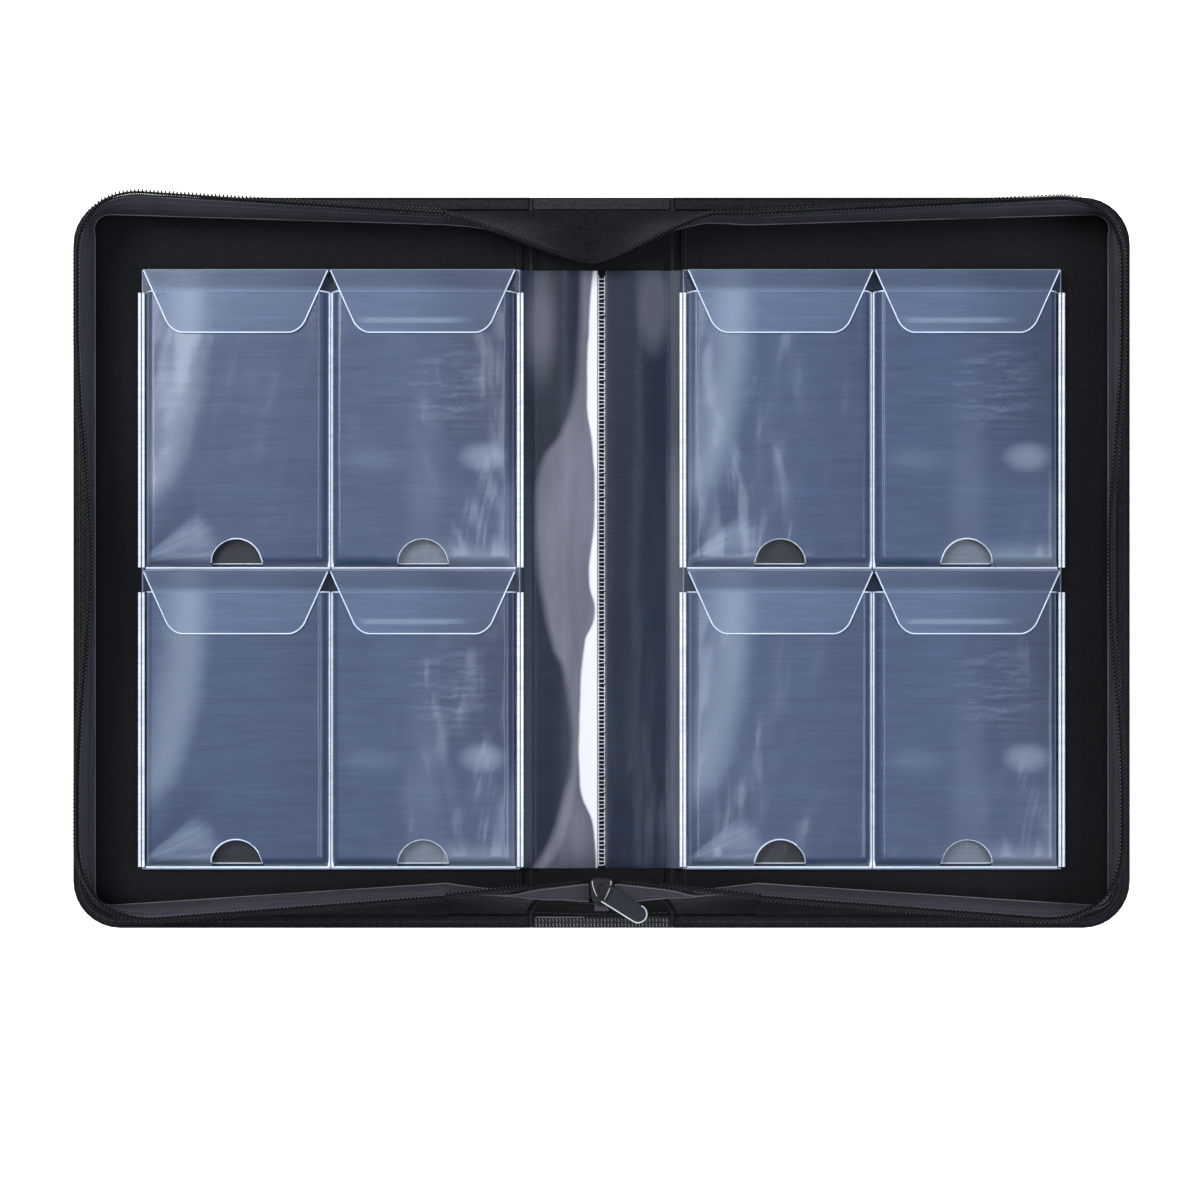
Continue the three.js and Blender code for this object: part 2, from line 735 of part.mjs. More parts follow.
// A flap, drawn from its hinge line at y = 0 towards the foot.
function flap() {
  const slope = flapTaper / flapDepth;
  const root = pocketWidth / 2 + flapOverhang;
  const tip = root - flapTaper;
  const shape = new THREE.Shape();
  shape.moveTo(-root, -flapRootSetback);
  shape.lineTo(-tip - slope * flapCorner, -flapDepth + flapCorner);
  shape.quadraticCurveTo(-tip, -flapDepth, -tip + flapCorner, -flapDepth);
  shape.lineTo(tip - flapCorner, -flapDepth);
  shape.quadraticCurveTo(tip, -flapDepth, tip + slope * flapCorner, -flapDepth + flapCorner);
  shape.lineTo(root, -flapRootSetback);
  shape.closePath();
  return slab(shape, 0, flapThickness, 5);
}

function makeLeaves(side) {
  const leaves = new THREE.Group();
  leaves.add(
    piece(`${side}_lower_leaf`, leafSheet(lowerLeafBottom, lowerLeafBottom + lowerLeafThickness), "film"),
    piece(`${side}_hidden_pockets`, hiddenPockets(), "film"),
    piece(`${side}_leaf_core`, leafSheet(coreBottom, coreTop), "film"),
  );
  pocketPlaces().forEach((place) => {
    const lid = piece(`${side}_${place.name}_flap`, flap(), "film");
    lid.position.set(place.x, place.foot + footWeld + pocketLength + headWeld, flapBottom);
    leaves.add(piece(`${side}_${place.name}_pocket`, pocket(place), "film"), lid);
  });
  return leaves;
}

// Zip end at the foot. The slider's channel holds the tape tongue and the chain tail.
const sliderInnerEnd = sliderInset - halfHeight;
const sliderBottom = footRim.z + gussetThickness / 2 + 2 * fitGap;
const channelBottom = sliderBottom + slider.plate;
const channelTop = channelBottom + slider.channel;
const sliderTop = channelTop + slider.plate;
const tongueBottom = channelBottom + fitGap;
const tongueStart = sliderInnerEnd - sliderNeck.length - sliderTravel - 2 * fitGap;

function sliderBody() {
  const outline = new THREE.Shape();
  const [inner, outer] = [sliderInnerEnd, sliderInnerEnd - slider.length];
  const { nose, tail } = sliderRound;
  const [noseHalf, tailHalf] = [slider.width / 2, slider.tailWidth / 2];
  outline.moveTo(-noseHalf, inner - nose);
  outline.quadraticCurveTo(-noseHalf, inner, -noseHalf + nose, inner);
  outline.lineTo(noseHalf - nose, inner);
  outline.quadraticCurveTo(noseHalf, inner, noseHalf, inner - nose);
  outline.lineTo(tailHalf, outer + tail);
  outline.quadraticCurveTo(tailHalf, outer, tailHalf - tail, outer);
  outline.lineTo(-tailHalf + tail, outer);
  outline.quadraticCurveTo(-tailHalf, outer, -tailHalf, outer + tail);
  outline.closePath();
  const half = slider.tailWidth / 2 - slider.wall;
  const reach = slider.width;
  const middle = channelBottom + slider.channel / 2;
  const body = toSolid(slab(outline, sliderBottom, sliderTop, 4));
  const channel = toSolid(box([-half, half], [outer - 1, inner + 1], [channelBottom, channelTop]));
  const slitZ = [middle - sliderSlit / 2, middle + sliderSlit / 2];
  const slit = toSolid(box([-reach, reach], [outer - 1, inner + 1], slitZ));
  const neck = toSolid(box(
    [-sliderNeck.width / 2, sliderNeck.width / 2],
    [inner - sliderNeck.length, inner - fitGap],
    [channelBottom - slider.plate / 2, channelTop + slider.plate / 2],
  ));
  const arch = toSolid(bridgeArch());
  return toGeometry(body.subtract(channel).subtract(slit).add(neck).add(arch));
}

const bridgeMiddle = sliderInnerEnd - slider.length / 2;

function bridgeArch() {
  const half = bridge.length / 2;
  const inside = bridge.opening / 2;
  const foot = sliderTop - slider.plate / 2;
  const crown = sliderTop + bridge.clear;
  const top = crown + bridge.crown;
  const round = bridge.round;
  const shape = new THREE.Shape();
  shape.moveTo(-half, foot);
  shape.lineTo(-inside, foot);
  shape.lineTo(-inside, crown);
  shape.lineTo(inside, crown);
  shape.lineTo(inside, foot);
  shape.lineTo(half, foot);
  shape.lineTo(half, top - round);
  shape.quadraticCurveTo(half, top, half - round, top);
  shape.lineTo(-half + round, top);
  shape.quadraticCurveTo(-half, top, -half, top - round);
  shape.closePath();
  const settings = { depth: bridge.width, bevelEnabled: false, curveSegments: 3 };
  const geometry = new THREE.ExtrudeGeometry(shape, settings);
  return geometry.rotateX(Math.PI / 2).rotateZ(Math.PI / 2).translate(-bridge.width / 2, bridgeMiddle, 0);
}

// The tongue runs level through the slider and then turns down over the patch.
function tapeTongue() {
  const bend = tongueStart - tongueLength;
  const down = bend - tongueDrop * Math.tan(tongueLean);
  const t = tapeThickness;
  const profile = [
    [tongueStart, tongueBottom],
    [bend, tongueBottom],
    [down, tongueBottom - tongueDrop],
    [down - t, tongueBottom - tongueDrop + t / 3],
    [bend - t / 2, tongueBottom + t],
    [tongueStart, tongueBottom + t],
  ];
  const shape = new THREE.Shape();
  profile.forEach(([y, z], i) => (i === 0 ? shape.moveTo(y, z) : shape.lineTo(y, z)));
  shape.closePath();
  const geometry = new THREE.ExtrudeGeometry(shape, { depth: tongueWidth, bevelEnabled: false });
  return geometry.rotateX(Math.PI / 2).rotateZ(Math.PI / 2).translate(-tongueWidth / 2, 0, 0);
}

// The closed stub of chain beyond the slider, with its meshed teeth as a stepped edge.
function chainTail() {
  const teeth = Math.floor(tongueLength / chainPitch);
  const half = chainWidth / 2;
  const root = half * chainTooth.waist;
  const { rise, fall } = chainTooth;
  const bottom = tongueBottom + tapeThickness;
  const shape = new THREE.Shape();
  shape.moveTo(-root, tongueStart);
  for (let i = 0; i < teeth; i += 1) {
    const y = tongueStart - i * chainPitch;
    shape.lineTo(-root, y - chainPitch * rise[0]);
    shape.lineTo(-half, y - chainPitch * rise[1]);
    shape.lineTo(-half, y - chainPitch * fall[0]);
    shape.lineTo(-root, y - chainPitch * fall[1]);
  }
  for (let i = teeth - 1; i >= 0; i -= 1) {
    const y = tongueStart - i * chainPitch;
    shape.lineTo(root, y - chainPitch * fall[1]);
    shape.lineTo(half, y - chainPitch * fall[0]);
    shape.lineTo(half, y - chainPitch * rise[1]);
    shape.lineTo(root, y - chainPitch * rise[0]);
  }
  shape.lineTo(root, tongueStart);
  shape.closePath();
  return slab(shape, bottom, bottom + chainThickness);
}

// The pull tab, drawn along +X from its cross bar, with a slot for the slider's bridge.
function tabGeometry() {
  const half = pullTab.width / 2;
  const barHalf = pullTab.bar / 2;
  const outline = new THREE.Shape();
  outline.moveTo(-barHalf, -half);
  outline.lineTo(pullTab.length - half, -half);
  outline.absarc(pullTab.length - half, 0, half, -Math.PI / 2, Math.PI / 2, false);
  outline.lineTo(-barHalf, half);
  outline.closePath();
  const slot = new THREE.Path();
  slot.moveTo(barHalf, -pullTab.slotHalfWidth);
  slot.lineTo(barHalf, pullTab.slotHalfWidth);
  slot.lineTo(barHalf + pullTab.slotLength, pullTab.slotHalfWidth);
  slot.lineTo(barHalf + pullTab.slotLength, -pullTab.slotHalfWidth);
  slot.closePath();
  outline.holes.push(slot);
  const plate = toSolid(slab(outline, -pullTab.thickness / 2, pullTab.thickness / 2, 8));
  const barReach = [-barHalf - 1, barHalf];
  const across = [-half, half];
  const above = toSolid(box(barReach, across, [barHalf, pullTab.thickness]));
  const below = toSolid(box(barReach, across, [-pullTab.thickness, -barHalf]));
  return toGeometry(plate.subtract(above).subtract(below));
}

function makeZipEnd() {
  const zipEnd = new THREE.Group();
  const tab = piece("pull_tab", tabGeometry(), "rubber");
  tab.position.set(0, bridgeMiddle, sliderTop + fitGap + pullTab.thickness / 2);
  tab.rotation.z = THREE.MathUtils.degToRad(pullTabYaw);
  zipEnd.add(
    piece("zip_slider", sliderBody(), "slider"),
    piece("zip_tongue", tapeTongue(), "tape"),
    piece("chain_tail", chainTail(), "coil"),
    tab,
  );
  return zipEnd;
}

const binder = new THREE.Group();
binder.add(makeSpine(), makeZipEnd());
[["front", -1, 0], ["back", 1, coilPitch / 2]].forEach(([side, direction, coilPhase]) => {
  const cover = makeCover(side, coilPhase);
  cover.position.x = direction * hingeX;
  cover.scale.x = direction;
  const leaves = makeLeaves(side);
  leaves.position.x = direction * (hingeX + leafHingeOffset);
  leaves.scale.x = direction;
  binder.add(cover, leaves);
});

export default binder;
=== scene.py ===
"""Looks for an open zip-around binder with film leaves. Metres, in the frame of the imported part.

The sheets are worked out in millimetres, and turned to metres where a mesh is made."""
import math

import bmesh
import bpy
import numpy as np
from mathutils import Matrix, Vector


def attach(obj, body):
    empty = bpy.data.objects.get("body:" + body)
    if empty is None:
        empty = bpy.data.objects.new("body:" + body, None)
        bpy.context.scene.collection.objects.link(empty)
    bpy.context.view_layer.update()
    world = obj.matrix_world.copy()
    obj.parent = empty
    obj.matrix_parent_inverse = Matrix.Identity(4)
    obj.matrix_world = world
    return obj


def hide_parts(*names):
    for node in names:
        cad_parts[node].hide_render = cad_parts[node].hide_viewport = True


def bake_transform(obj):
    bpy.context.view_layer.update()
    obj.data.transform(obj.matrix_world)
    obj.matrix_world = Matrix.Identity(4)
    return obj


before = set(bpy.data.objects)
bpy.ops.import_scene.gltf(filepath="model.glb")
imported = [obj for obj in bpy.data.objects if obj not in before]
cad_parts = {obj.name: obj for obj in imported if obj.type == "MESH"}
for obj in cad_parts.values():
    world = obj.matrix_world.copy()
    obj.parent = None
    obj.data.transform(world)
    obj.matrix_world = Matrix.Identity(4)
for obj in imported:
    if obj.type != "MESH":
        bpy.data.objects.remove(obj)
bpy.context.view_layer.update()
scene = bpy.context.scene
MM = 0.001
SIDES = {"front": -1, "back": 1}

# Sizes in millimetres, the same as in the CAD source.
COVER_WIDTH, HALF_HEIGHT, CORNER = 233.0, 186.0, 24.0
HINGE_X = 36.0
WALL_START = 41.85
HEM_IN, HEM_OUT, HEM_Z = 1.4, 6.2, 2.2
FOOT_INSET, FOOT_Z = 7.6, 4.0
KNEE_Z, GUSSET_TOP, TAPE_TOP, COIL_Z, COIL_TOP = 19.0, 28.5, 33.95, 36.0, 37.25
HEAD_TIP = (-5.0, 36.0, 19.0)
HEAD_REACH = (70.0, 56.0)
FOOT_RIM = (10.0, 22.0, 32.0)
GUSSET_REACH = 77.8
LEAF_X, LEAF_WIDTH, LEAF_FOOT, LEAF_HEIGHT = 41.5, 191.0, -155.0, 303.0
LEAF_HEAD = LEAF_FOOT + LEAF_HEIGHT
CORE_TOP, CORE_BOTTOM, POCKET_TOP, FLAP_Z = 6.7, 6.1, 13.6, 13.9
ROW, COLUMN, POCKET_WIDTH, POCKET_LENGTH = 151.5, 94.0, 91.0, 146.5
NOTCH = 13.0
SLACK = {"front": -0.8, "back": 1.2}

HEAD_RUN = COVER_WIDTH - CORNER
ARC = math.pi / 2 * CORNER
EDGE = 2 * HEAD_RUN + 2 * ARC + 2 * (HALF_HEIGHT - CORNER)

# Sizes of the dressing, in millimetres.
WALL_STEP, SKIN_HALF = 2.2, 0.4
TAPE_NEAR, TAPE_FAR, WELT_OUT = 0.7, 1.3, 1.4
LINE_OUT, CORD_Z, SEAM_Z = 1.55, 31.2, 27.2
HEM_SEAM_IN, HEM_SEAM_Z = 3.7, 2.72
RIM_LEVEL = 5.0
LIP_LEVEL, LIP_WIDTH, LIP_START, LIP_END = 3.1, 6.0, 6.3, 60.0
SEAM_PITCH = 2.05
MARGIN_IN, CREASE, MARGIN_OUT = 2.1, 36.6, 41.45
FILM_OVER, FOOT_Y, MOUTH, BACK_TOP = 0.9, 0.9, 139.4, CORE_TOP + 0.3
WELD_OUT, WELD_SIDES, WELD_MIDDLE = 1.2, (47.9, 49.8), 46.1
LID_START, LID_DEPTH, LID_CORNER = 0.8, 31.9, 6.0
LID_HALF, LID_END_HALF = 46.2, 32.2


# Shader graphs.
class Wire:
    """A node's output, with which sums can be written."""

    def __init__(self, graph, socket):
        self.graph, self.socket = graph, socket

    def __add__(self, other):
        return self.graph.math("ADD", self, other)

    def __mul__(self, other):
        return self.graph.math("MULTIPLY", self, other)

    def __sub__(self, other):
        return self.graph.math("SUBTRACT", self, other)

    def __rsub__(self, other):
        return self.graph.math("SUBTRACT", other, self)

    def __truediv__(self, other):
        return self.graph.math("DIVIDE", self, other)


class Graph:
    """Adds and links nodes in a tree. Any input takes a wire or a plain value."""

    def __init__(self, tree):
        self.tree = tree

    def node(self, kind, inputs=(), **settings):
        node = self.tree.nodes.new(kind if kind.startswith("NodeGroup") else "ShaderNode" + kind)
        for key, value in settings.items():
            setattr(node, key, value)
        for key, value in dict(inputs).items():
            self.feed(node.inputs[key], value)
        return node

    def add(self, kind, inputs=(), out=0, **settings):
        return Wire(self, self.node(kind, inputs, **settings).outputs[out])

    def all_of(self, kind, inputs=(), **settings):
        """All outputs of a new node, by name."""
        return {socket.name: Wire(self, socket) for socket in self.node(kind, inputs, **settings).outputs}

    def feed(self, socket, value):
        if isinstance(value, Wire):
            self.tree.links.new(value.socket, socket)
        else:
            socket.default_value = (*value, 1) if socket.type == "RGBA" else value

    def math(self, operation, a, b=0.0, clamp=False):
        return self.add("Math", {0: a, 1: b}, operation=operation, use_clamp=clamp)

    def clamp(self, value):
        return self.math("ADD", value, 0.0, clamp=True)

    def noise(self, vector, scale, detail=3.0, rough=0.5, distortion=0.0):
        inputs = {"Vector": vector, "Scale": scale, "Detail": detail, "Roughness": rough, "Distortion": distortion}
        return self.add("TexNoise", inputs)

    def band(self, value, low, high, to_low=0.0, to_high=1.0):
        """A smooth climb from one value to another, between low and high."""
        inputs = {"Value": value, "From Min": low, "From Max": high, "To Min": to_low, "To Max": to_high}
        return self.add("MapRange", inputs, interpolation_type="SMOOTHSTEP")

    def fade(self, value, low, high, rest=0.0):
        return self.band(value, low, high, 1.0, rest)

    def blend(self, share, a, b):
        return self.add("Mix", {0: share, 6: a, 7: b}, out=2, data_type="RGBA")

    def stretch(self, vector, x, y, z=1.0):
        return self.add("VectorMath", {0: vector, 1: (x, y, z)}, operation="MULTIPLY")

    def oval(self, u, v, centre, reach, core):
        """A soft round patch: 1 at its centre and 0 beyond its reach."""
        across, up = (u - centre[0]) / reach[0], (v - centre[1]) / reach[1]
        return self.fade(self.math("SQRT", across * across + up * up), core, 1.0)

    def curve(self, value, points):
        """A smooth curve through a few points, which run from 0 to 1 both ways."""
        node = self.node("FloatCurve", {"Value": value})
        line = node.mapping.curves[0]
        line.points[0].location = points[0]
        line.points[1].location = points[-1]
        for x, y in points[1:-1]:
            line.points.new(x, y)
        node.mapping.update()
        return Wire(self, node.outputs[0])

    def axes(self, vector):
        return self.all_of("SeparateXYZ", {0: vector}).values()

    def bump(self, height, distance, strength=1.0):
        return self.add("Bump", {"Height": height, "Distance": distance, "Strength": strength})


def group(*numbers):
    """A node group of a place and some numbers, with the name and outputs of the function below."""
    def make(build):
        tree = bpy.data.node_groups.new(build.__name__, "ShaderNodeTree")
        tree.interface.new_socket("Vector", in_out="INPUT", socket_type="NodeSocketVector")
        for label in numbers:
            tree.interface.new_socket(label, in_out="INPUT", socket_type="NodeSocketFloat")
        graph = Graph(tree)
        source = graph.all_of("NodeGroupInput")
        outputs = build(graph, source["Vector"], *[source[label] for label in numbers])
        for label in outputs:
            tree.interface.new_socket(label, in_out="OUTPUT", socket_type="NodeSocketFloat")
        graph.node("NodeGroupOutput", outputs)
        return tree
    return make


@group()
def leather_grain(g, where):
    scale = 620.0
    warp = g.stretch(g.noise(where, scale, 2.0), 0.0006, 0.0006, 0.0006)
    shifted = g.add("VectorMath", {0: where, 1: warp}, operation="ADD")
    cells = g.add("TexVoronoi", {"Vector": shifted, "Scale": scale}, feature="SMOOTH_F1")
    pebble = g.math("SUBTRACT", 1.0, cells, clamp=True)
    creases = g.noise(where, scale * 0.13, 4.0, 0.6)
    return {"Height": pebble * 0.7 + creases * 0.5, "Mask": g.band(pebble, 0.35, 0.8)}


@group("Threads")
def plain_weave(g, where, threads):
    x, y, _ = g.axes(where)
    over = g.math("SINE", x * threads) * g.math("SINE", y * threads)
    slub = g.noise(g.stretch(where, 1.0, 0.12), 900.0, 2.0)
    height = over * 0.5 + slub * 0.6
    return {"Height": height, "Mask": g.band(height, -0.1, 0.7)}


@group()
def handling_marks(g, where):
    wide = g.noise(where, 14.0, 5.0, 0.6, 0.4)
    fine = g.noise(where, 420.0, 4.0, 0.7)
    specks = g.band(g.noise(where, 1300.0, 1.0), 0.72, 0.8)
    return {"Smudge": g.band(wide, 0.4, 0.72), "Fine": fine, "Dust": specks * g.band(wide, 0.35, 0.6)}


@group("Haze")
def film_wrinkles(g, where, haze):
    long = g.noise(g.stretch(where, 0.32, 1.6), 16.0, 4.0, 0.55, 1.6)
    folds = g.noise(g.stretch(where, 1.5, 0.5), 22.0, 2.0, 0.5, 2.2)
    streaked = g.math("POWER", g.band(long, 0.46, 0.74), 1.6)
    return {"Haze": streaked * 0.25 + haze, "Height": long * 0.7 + (folds - 0.5)}


@group()
def brushed_marks(g, where):
    """Fine marks drawn across a film, as left by its rollers."""
    wide = g.noise(g.stretch(where, 0.16, 1.6), 90.0, 4.0, 0.65)
    thin = g.noise(g.stretch(where, 0.1, 1.9), 420.0, 2.0, 0.6)
    return {"Tone": wide * 0.6 + thin * 0.4}


@group()
def fan_of_light(g, where):
    """Film drawn tight from its lower left corner, painted with light and shade: a band of painted light up its left
    side, a fan of painted reflections from that corner, painted highlights along its left edge and the right half of
    its foot, painted shade in a crease by the corner and towards its right, and a dark line across the lid just above
    the pocket's mouth.
    """
    u, v, _ = g.axes(where)
    wander = (g.noise(where, 26.0, 2.0) - 0.5) * 0.012
    bow = g.math("EXPONENT", (0.02 - v) / 0.04)
    inside = (1.0 - bow) * 0.038 - u + wander
    stripe = g.band(inside, -0.003, 0.011) * g.fade(inside, 0.012, 0.034) * g.band(v, 0.02, 0.05)
    stripe = stripe * g.fade(v, 0.138, 0.142, 0.3)
    angle = g.math("ARCTAN2", v - 0.002, u + 0.004)
    reach = g.add("VectorMath", {0: where}, out=1, operation="LENGTH")
    rays = g.noise(g.add("CombineXYZ", {0: angle * 2.4, 1: reach * 9.0}), 3.2, 2.0)
    wedge = g.fade(angle, 0.56, 0.74) * g.fade(reach, 0.032, 0.043) * g.band(reach, 0.0, 0.009)
    foot = g.fade(v, 0.0015, 0.004) * g.band(u, 0.048, 0.075) * 0.7
    side = g.fade(u, 0.0, 0.004) * 0.35
    fan = wedge * g.band(rays, 0.3, 0.66, 0.3, 1.0)
    # crease and right are painted shade: darker in a crease by the corner and towards the right side.
    crease = g.band(angle, 0.66, 0.8) * g.fade(angle, 0.86, 1.1) * g.fade(reach, 0.02, 0.06)
    right = g.band(u, 0.055, 0.09) * 0.3
    return {
        "Light": g.clamp(stripe * 0.8 + fan * 0.8 + foot + side),
        "Dark": g.clamp(crease * 0.5 + right + g.band(v, 0.1405, 0.1425) * 0.6),
    }


@group()
def scuffs_and_painted_light(g, where):
    """Film that is scuffed in its middle, its scuffs and nicks drawn lighter as painted light, with painted
    highlights: a soft patch at the right, a band along its foot, the lower part of its right edge, an upright patch,
    a sweep at the left and a thin line across; painted shade towards its upper right, and a dark line across the lid
    just above the pocket's mouth.
    """
    u, v, _ = g.axes(where)
    brushed = g.noise(g.stretch(where, 0.3, 1.7), 150.0, 4.0, 0.7)
    # patch, foot, side, upright, line and sweep are painted highlights, worn and nicks are scuffs of real wear drawn
    # lighter as painted light, and shade is painted shade.
    patch = g.oval(u, v, (0.0765, 0.056), (0.0155, 0.0095), 0.2)
    area = g.oval(u, v, (0.060, 0.092), (0.032, 0.036), 0.1)
    worn = area * g.band(brushed, 0.42, 0.72)
    nicks = area * g.band(g.noise(where, 300.0, 2.0), 0.7, 0.76)
    foot = g.fade(v, 0.001, 0.017) * g.band(u, 0.02, 0.075)
    side = g.band(u, 0.086, 0.092) * g.fade(v, 0.03, 0.055)
    upright = g.oval(u, v, (0.047, 0.04), (0.014, 0.07), 0.1)
    line = g.fade(g.math("ABSOLUTE", v - 0.1246), 0.0006, 0.002) * g.band(u, 0.012, 0.02) * g.fade(u, 0.055, 0.075)
    sweep = g.oval(u, v, (0.02, 0.055), (0.024, 0.01), 0.1)
    shade = g.band(u, 0.03, 0.088) * g.band(v, 0.03, 0.075)
    light = patch * 0.7 + worn * 0.4 + nicks + foot * 0.9 + side * 0.5 + upright * 0.16 + sweep * 0.18 + line * 0.6
    return {"Light": g.clamp(light), "Dark": g.clamp(shade * 0.75 + g.band(v, 0.1405, 0.1425) * 0.6)}


@group()
def left_margin_glare(g, where):
    """A film margin left of the seam, painted with light and shade. Down its length a painted white glare hugs the
    seam inside a wide painted grey one; painted highlights lie near its head and foot, and a patch of painted shade
    lies away from the seam in its upper third.
    """
    u, v, _ = g.axes(where)
    away = u * -1.0 / 0.04
    down = (0.148 - v) / 0.303
    white = g.curve(down, [
        (0, 0.09), (0.12, 0.16), (0.22, 0.17), (0.3, 0.1), (0.42, 0.08), (0.52, 0.15), (0.57, 0.07), (0.62, 0.19),
        (0.7, 0.25), (0.86, 0.26), (0.93, 0.1), (1, 0.06),
    ])
    grey = g.curve(down, [
        (0, 0.24), (0.12, 0.28), (0.2, 0.33), (0.27, 0.5), (0.34, 0.78), (0.44, 0.82), (0.55, 0.73), (0.63, 0.6),
        (0.68, 0.45), (0.8, 0.37), (0.88, 0.47), (1, 0.85),
    ])
    inner = g.curve(down, [(0, 0.0), (0.72, 0.0), (0.8, 0.27), (0.9, 0.38), (1, 0.72)])
    place = away + (g.noise(where, 40.0, 2.0) - 0.5) * 0.05
    veil = g.fade(place - grey, -0.06, 0.07)
    hollow = g.fade(place - inner, -0.05, 0.04)
    streaked = g.band(g.noise(g.stretch(where, 1.6, 0.25), 60.0, 3.0), 0.3, 0.7, 0.7, 1.0)
    # haze and lower are painted highlights, not haze in the film.
    haze = g.oval(away, down, (0.78, 0.09), (0.3, 0.13), 0.1) * 0.5
    lower = g.oval(away, down, (0.3, 0.93), (0.3, 0.09), 0.1) * 0.75
    return {
        "Light": g.clamp(veil * (1.0 - hollow * 0.5) * streaked + haze + lower * 0.5),
        "Glare": g.fade(place - white, -0.01, 0.03),
        "Dark": g.oval(away, down, (0.9, 0.28), (0.4, 0.12), 0.1) * 0.6,
    }


@group()
def right_margin_glare(g, where):
    """A film margin right of the seam: dark, with a painted grey highlight at its head, a painted pale band along the
    lower part of its outer edge, pale painted streaks low down, a faint painted glare along the seam and broad
    painted shade in its upper middle.
    """
    u, v, _ = g.axes(where)
    away = u / 0.04
    down = (0.148 - v) / 0.303
    # patch, edge, low and thread are painted highlights and pale streaks of painted light.
    patch = g.oval(away, down, (0.66, 0.055), (0.26, 0.11), 0.35)
    edge = g.band(away, 0.8, 0.92) * g.band(down, 0.24, 0.4)
    long = g.noise(g.stretch(where, 1.6, 0.2), 70.0, 3.0)
    low = g.band(away, 0.1, 0.7) * g.band(down, 0.55, 0.95) * g.band(long, 0.45, 0.75)
    thread = g.band(long, 0.7, 0.74) * g.fade(away, 0.05, 0.25) * g.band(down, 0.72, 0.8)
    return {
        "Light": g.clamp(patch * 0.42 + edge * 0.45 + low * 0.3 + thread * 0.6),
        "Glare": g.fade(away, 0.045, 0.075) * 0.15,
        "Dark": g.oval(away, down, (0.35, 0.3), (0.6, 0.5), 0.2) * 0.4,
    }


def use(g, tree, where, **numbers):
    return g.all_of("Group", {"Vector": where, **numbers}, node_tree=tree)


def material(build):
    """Makes materials by name, with the function below that builds their shader."""
    def make(name, *values, **settings):
        made = bpy.data.materials.new(name)
        made.use_nodes = True
        made.node_tree.nodes.clear()
        graph = Graph(made.node_tree)
        graph.node("OutputMaterial", {"Surface": build(graph, *values, **settings)})
        return made
    return make


def principled(g, colour, roughness, normal, level):
    inputs = {"Base Color": colour, "Roughness": roughness, "Normal": normal, "Specular IOR Level": level}
    return g.add("BsdfPrincipled", inputs)


def shade(colour, by, more=0.0):
    return tuple(min(1.0, part * by + more) for part in colour)


def marked(g, kind):
    """A place, with the smudges, fine marks and dust at it."""
    where = g.all_of("TexCoord")[kind]
    return where, use(g, handling_marks, where)


def handled(g, marks, mask, dark, light, worn, smudge, dusty, dust):
    """A tone of two colours, with smudges of a worn one and specks of grey dust."""
    smudged = g.blend(marks["Smudge"] * smudge, g.blend(mask, dark, light), shade(light, worn))
    return g.blend(marks["Dust"] * dust, smudged, (dusty, dusty, dusty))


@material
def leather_like(g, kind, dark, light, level):
    where, marks = marked(g, kind)
    grain = use(g, leather_grain, where)
    return principled(
        g, handled(g, marks, grain["Mask"], dark, light, 1.5, 0.35, 0.3, 0.1),
        g.band(marks["Fine"], 0.3, 0.7, 0.42, 0.62), g.bump(grain["Height"] + marks["Fine"] * 0.12, 0.00012), level,
    )


@material
def woven(g, kind, dark, light, threads=5200.0, depth=0.00008, rough=0.85, level=0.15):
    where, marks = marked(g, kind)
    cloth = use(g, plain_weave, where, Threads=threads)
    return principled(
        g, handled(g, marks, cloth["Mask"], dark, light, 1.4, 0.3, 0.35, 0.08),
        g.band(marks["Fine"], 0.2, 0.8, rough - 0.08, min(1.0, rough + 0.08)), g.bump(cloth["Height"], depth), level,
    )


@material
def moulded(g, colour, rough, level, fine_depth=0.00002):
    _, marks = marked(g, "Object")
    return principled(
        g, g.blend(marks["Smudge"] * 0.5, colour, shade(colour, 1.9, 0.01)),
        g.band(marks["Fine"], 0.25, 0.75, rough - 0.06, rough + 0.1), g.bump(marks["Fine"], fine_depth), level,
    )


